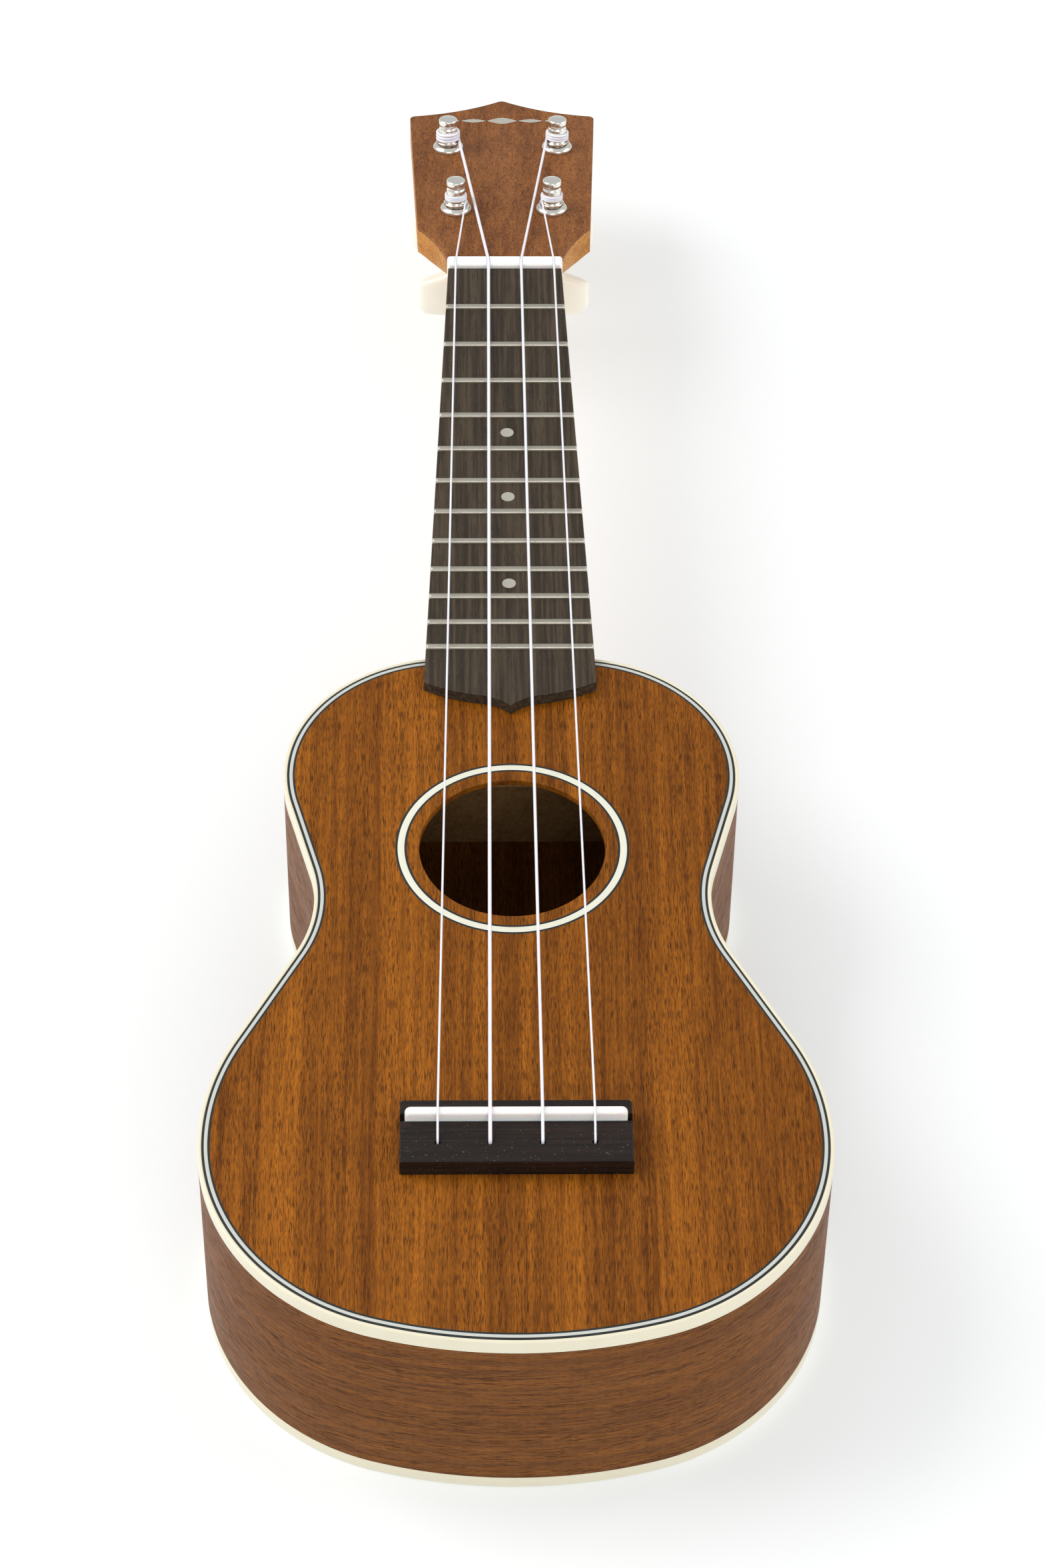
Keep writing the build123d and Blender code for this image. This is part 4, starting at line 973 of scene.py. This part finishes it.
class UKE_OT_pegs(bpy.types.Operator):
    """Make the posts, ferrules, collars, washers, buttons and screws of the four friction pegs"""

    bl_idname = "uke.pegs"
    bl_label = "Friction Pegs"

    def post_profile(self, peg, levels):
        """Post from the button's seat up to a lightly domed top, with a shoulder and a string groove."""
        radius, top, wind, seat = peg.post_radius, peg.post_height, peg.winding_height, levels["seat"]
        edge, dome_rise, tang_radius = 0.7 * MM, 0.55 * MM, 2.2 * MM
        groove_depth, groove_start, groove_pitch = 0.16 * MM, 2.3 * MM, 0.32 * MM
        collar, collar_height, bevel = 0.9 * MM, 0.8 * MM, 0.2 * MM
        dome = np.linspace(0, pi / 2, 7)[:-1]
        cap = np.stack([radius - edge + edge * np.cos(dome), top - edge + dome_rise * np.sin(dome)], -1)
        waist = np.linspace(0, 2 * pi, 15)
        groove = np.stack([
            radius - groove_depth * (1 - np.cos(waist)), wind + groove_start + groove_pitch * waist
        ], -1)
        rim = np.array([
            (0, 0), (collar - bevel, 0), (collar, bevel), (collar, collar_height - bevel),
            (collar - bevel, collar_height), (0, collar_height),
        ]) + (radius, seat)
        shank = [
            (0.3 * MM, levels["tang"]), (tang_radius, levels["tang"]), (tang_radius, levels["hub"]),
            (radius, levels["hub"]),
        ]
        crown = [(0.9 * MM, top - 0.03 * MM), (0.25 * MM, top)]
        return np.concatenate([shank, rim, groove, cap, crown])

    def button(self, peg, levels, place):
        """Rings from the hub to the tip: each is a superellipse whose half-width and half-thickness follow
        smooth curves of the height, so a round hub swells into two flat wings."""
        hub, tip = levels["hub"], levels["tip"]
        share = np.linspace(0, 1, 46)
        height = hub + (tip - hub) * share
        wing_start = 1 - peg.button_height / (hub - tip)
        into = np.clip((share - wing_start + 0.10) / 0.26, 0, 1)
        swell = into * into * (3 - 2 * into)
        close = np.clip((share - 0.80) / 0.20, 0, 1)
        shut = np.sqrt(np.clip(1 - close**2.6, 0, 1))
        neck = 4.2 * MM - 1.3 * MM * np.sin(np.clip(share / wing_start, 0, 1) * pi / 2)
        wide = neck + (peg.button_width / 2 - neck) * swell
        wide = wide * (0.80 + 0.20 * shut) - 1.4 * MM * (1 - shut) * swell
        thick = neck + (peg.button_thickness / 2 - neck) * swell
        thick = thick * (0.62 + 0.38 * shut)
        power = 1.0 - 0.22 * swell
        height[-1], height[-2] = tip, tip + 0.12 * MM
        angle = np.linspace(0, 2 * pi, peg.facets, endpoint=False)
        cosine, sine = np.cos(angle)[None], np.sin(angle)[None]
        x = wide[:, None] * np.sign(cosine) * np.abs(cosine) ** power[:, None]
        y = thick[:, None] * np.sign(sine) * np.abs(sine) ** power[:, None]
        rings = np.stack([x, y, np.broadcast_to(height[:, None], x.shape)], -1)
        lead = self.circle(angle, 3.9 * MM, hub)
        screw_well = [(2.55, 0.0), (2.35, 0.15), (2.35, 1.2), (0.6, 1.25)]
        sunk = [self.circle(angle, radius * MM, tip + depth * MM) for radius, depth in screw_well]
        return skin(carried(np.concatenate([[lead], rings[1:], sunk]), place))

    def circle(self, angle, radius, height):
        return np.stack([radius * np.cos(angle), radius * np.sin(angle), np.full(len(angle), height)], -1)

    def execute(self, context):
        peg = context.scene.uke_pegs
        frames = peg_frames()
        facets = peg.facets
        head_thickness, collar_length, washer_thickness, end_gap = 9.3 * MM, 7.5 * MM, 0.8 * MM, 0.3 * MM
        ferrule_thickness, neck_length, tang_length = 2.0 * MM, 6.0 * MM, 12.0 * MM
        back = -head_thickness
        collar_end = back - collar_length
        hub = collar_end - washer_thickness - end_gap
        levels = {"seat": ferrule_thickness + end_gap, "hub": hub, "tang": hub - tang_length}
        levels["tip"] = hub - neck_length - peg.button_height
        ferrule = [
            (3.06, -4.5), (4.0, -4.5), (4.0, 0.0), (4.95, 0.0), (5.1, 0.15), (5.1, 0.75), (5.0, 1.05),
            (4.75, 1.35), (4.4, 1.65), (4.05, 1.85), (3.6, 1.97), (3.2, 2.0), (3.06, 1.9),
        ]
        collar = [
            (3.06, 3.0), (4.0, 3.0), (4.0, 0.0), (5.45, 0.0), (5.6, -0.15), (5.6, -1.1), (5.45, -1.3),
            (5.2, -1.4), (5.1, -2.2), (5.0, -4.4), (4.9, -6.9), (4.8, -7.3), (4.6, -7.5), (3.06, -7.5),
        ]
        washer = [(3.06, 0.0), (4.7, 0.0), (4.8, -0.1), (4.8, -0.7), (4.7, -0.8), (3.06, -0.8)]
        fixed = (
            ("ferrules", ferrule, 0.0, "post_nickel"), ("rear_collars", collar, back, "post_nickel"),
            ("friction_washers", washer, collar_end, "fibre"),
        )
        for name, profile, level, finish in fixed:
            section = np.array(profile) * MM + (0, level)
            skins = [self.hollow(section, place, facets) for place in frames.values()]
            made_piece(f"{name}_set", skins, finish, "body", (name,))
        for name, place in frames.items():
            body = f"peg_{name}"
            post = turned(self.post_profile(peg, levels), place, facets)
            made_piece(f"post_{name}_metal", [post], "post_nickel", body, (f"post_{name}",))
            grip = self.button(peg, levels, place)
            made_piece(f"button_{name}_grip", [grip], "button_ivory", body, (f"button_{name}",), 50)
            softened(f"button_screw_{name}_steel", f"button_screw_{name}", "screw_steel", body, width=0.1)
        return {"FINISHED"}

    def hollow(self, profile, place, facets):
        """A turned ring: the closed profile carried once round the axis."""
        angle = np.linspace(0, 2 * pi, facets, endpoint=False)
        x = np.outer(np.cos(angle), profile[:, 0])
        y = np.outer(np.sin(angle), profile[:, 0])
        z = np.broadcast_to(profile[None, :, 1], x.shape)
        return skin(carried(np.stack([x, y, z], -1), place), closed_path=True)


class UKE_OT_stage(bpy.types.Operator):
    """Set the pale floor, the soft lights and the camera"""

    bl_idname = "uke.stage"
    bl_label = "Stage"

    def execute(self, context):
        settings = context.scene.uke_stage
        reach, drop = 6.0, -0.2 * MM
        mesh = bpy.data.meshes.new("floor")
        corners = [(x * reach, y * reach, drop) for x, y in ((-1, -1), (1, -1), (1, 1), (-1, 1))]
        mesh.from_pydata(corners, [], [(0, 1, 2, 3)])
        floor = bpy.data.objects.new("floor", mesh)
        mesh.materials.append(studio_floor("studio_floor", settings.floor, settings.glow))
        context.scene.collection.objects.link(floor)
        world = bpy.data.worlds.new("studio")
        world.use_nodes = True
        sky = world.node_tree.nodes["Background"]
        sky.inputs["Color"].default_value = (0.97, 0.985, 1.0, 1.0)
        sky.inputs["Strength"].default_value = settings.sky
        context.scene.world = world
        aim = (0.0, -0.1, 0.03)
        self.soft_light("key", (-1.15, 0.15, 1.15), (0.02, *aim[1:]), (1.1, 1.1), settings.key_power)
        self.soft_light("fill", (1.3, 0.1, 0.75), aim, (1.2, 0.9), settings.fill_power)
        self.soft_light("front", (0.25, -1.5, 0.9), aim, (1.0, 0.8), settings.front_power)
        camera = bpy.data.objects.new("camera", bpy.data.cameras.new("camera"))
        camera.data.lens = settings.focal_length
        camera.data.sensor_width = 36.0
        camera.data.sensor_fit = "AUTO"
        camera.data.dof.use_dof = False
        camera.data.clip_end = 20
        camera_place = (-0.01370, -0.87705, 0.88703)
        pitch, yaw, roll = radians(45.777), radians(1.197), radians(0.761)
        ahead = Vector((sin(yaw) * cos(pitch), cos(yaw) * cos(pitch), -sin(pitch)))
        right = Vector((cos(yaw), -sin(yaw), 0))
        up = right.cross(ahead)
        level_right = cos(roll) * right + sin(roll) * up
        level_up = -sin(roll) * right + cos(roll) * up
        turn = Matrix((level_right, level_up, -ahead)).transposed().to_4x4()
        camera.matrix_world = Matrix.Translation(camera_place) @ turn
        context.scene.collection.objects.link(camera)
        context.scene.camera = camera
        context.scene.view_settings.view_transform = "Standard"
        return {"FINISHED"}

    def soft_light(self, name, place, aim, size, power):
        """A rectangular light at a place, turned towards its aim."""
        lamp = bpy.data.lights.new(name, "AREA")
        lamp.shape = "RECTANGLE"
        lamp.size, lamp.size_y = size
        lamp.energy = power
        lamp.color = (1.0, 0.985, 0.96)
        item = bpy.data.objects.new(name, lamp)
        item.location = place
        item.rotation_euler = (Vector(aim) - Vector(place)).to_track_quat("-Z", "Y").to_euler()
        bpy.context.scene.collection.objects.link(item)


MAKERS = (
    UKE_OT_stage, UKE_OT_sound_box, UKE_OT_edge_trim, UKE_OT_rosette, UKE_OT_inner_woodwork, UKE_OT_neck,
    UKE_OT_ornament, UKE_OT_fretboard, UKE_OT_frets, UKE_OT_bridge, UKE_OT_strings, UKE_OT_pegs,
)
GROUPS = {
    "uke_body": BodySizes, "uke_strings": StringSizes, "uke_pegs": PegSizes, "uke_finishes": Finishes,
    "uke_stage": StageSettings,
}


class UKE_PT_panel(bpy.types.Panel):
    """Lists every maker in the order they are used"""

    bl_idname = "UKE_PT_panel"
    bl_label = "Ukulele"
    bl_space_type = "VIEW_3D"
    bl_region_type = "UI"
    bl_category = "Ukulele"

    def draw(self, context):
        for maker in MAKERS:
            self.layout.operator(maker.bl_idname)
        for name, group in GROUPS.items():
            box = self.layout.box()
            for key in group.__annotations__:
                box.prop(getattr(context.scene, name), key)


def register():
    for item in (*GROUPS.values(), *MAKERS, UKE_PT_panel):
        bpy.utils.register_class(item)
    for name, group in GROUPS.items():
        setattr(bpy.types.Scene, name, PointerProperty(type=group))


def unregister():
    for name in GROUPS:
        delattr(bpy.types.Scene, name)
    for item in (UKE_PT_panel, *reversed(MAKERS), *reversed(list(GROUPS.values()))):
        bpy.utils.unregister_class(item)


def main():
    register()
    for maker in MAKERS:
        group, name = maker.bl_idname.split(".")
        getattr(getattr(bpy.ops, group), name)()


if __name__ == "__main__":
    main()
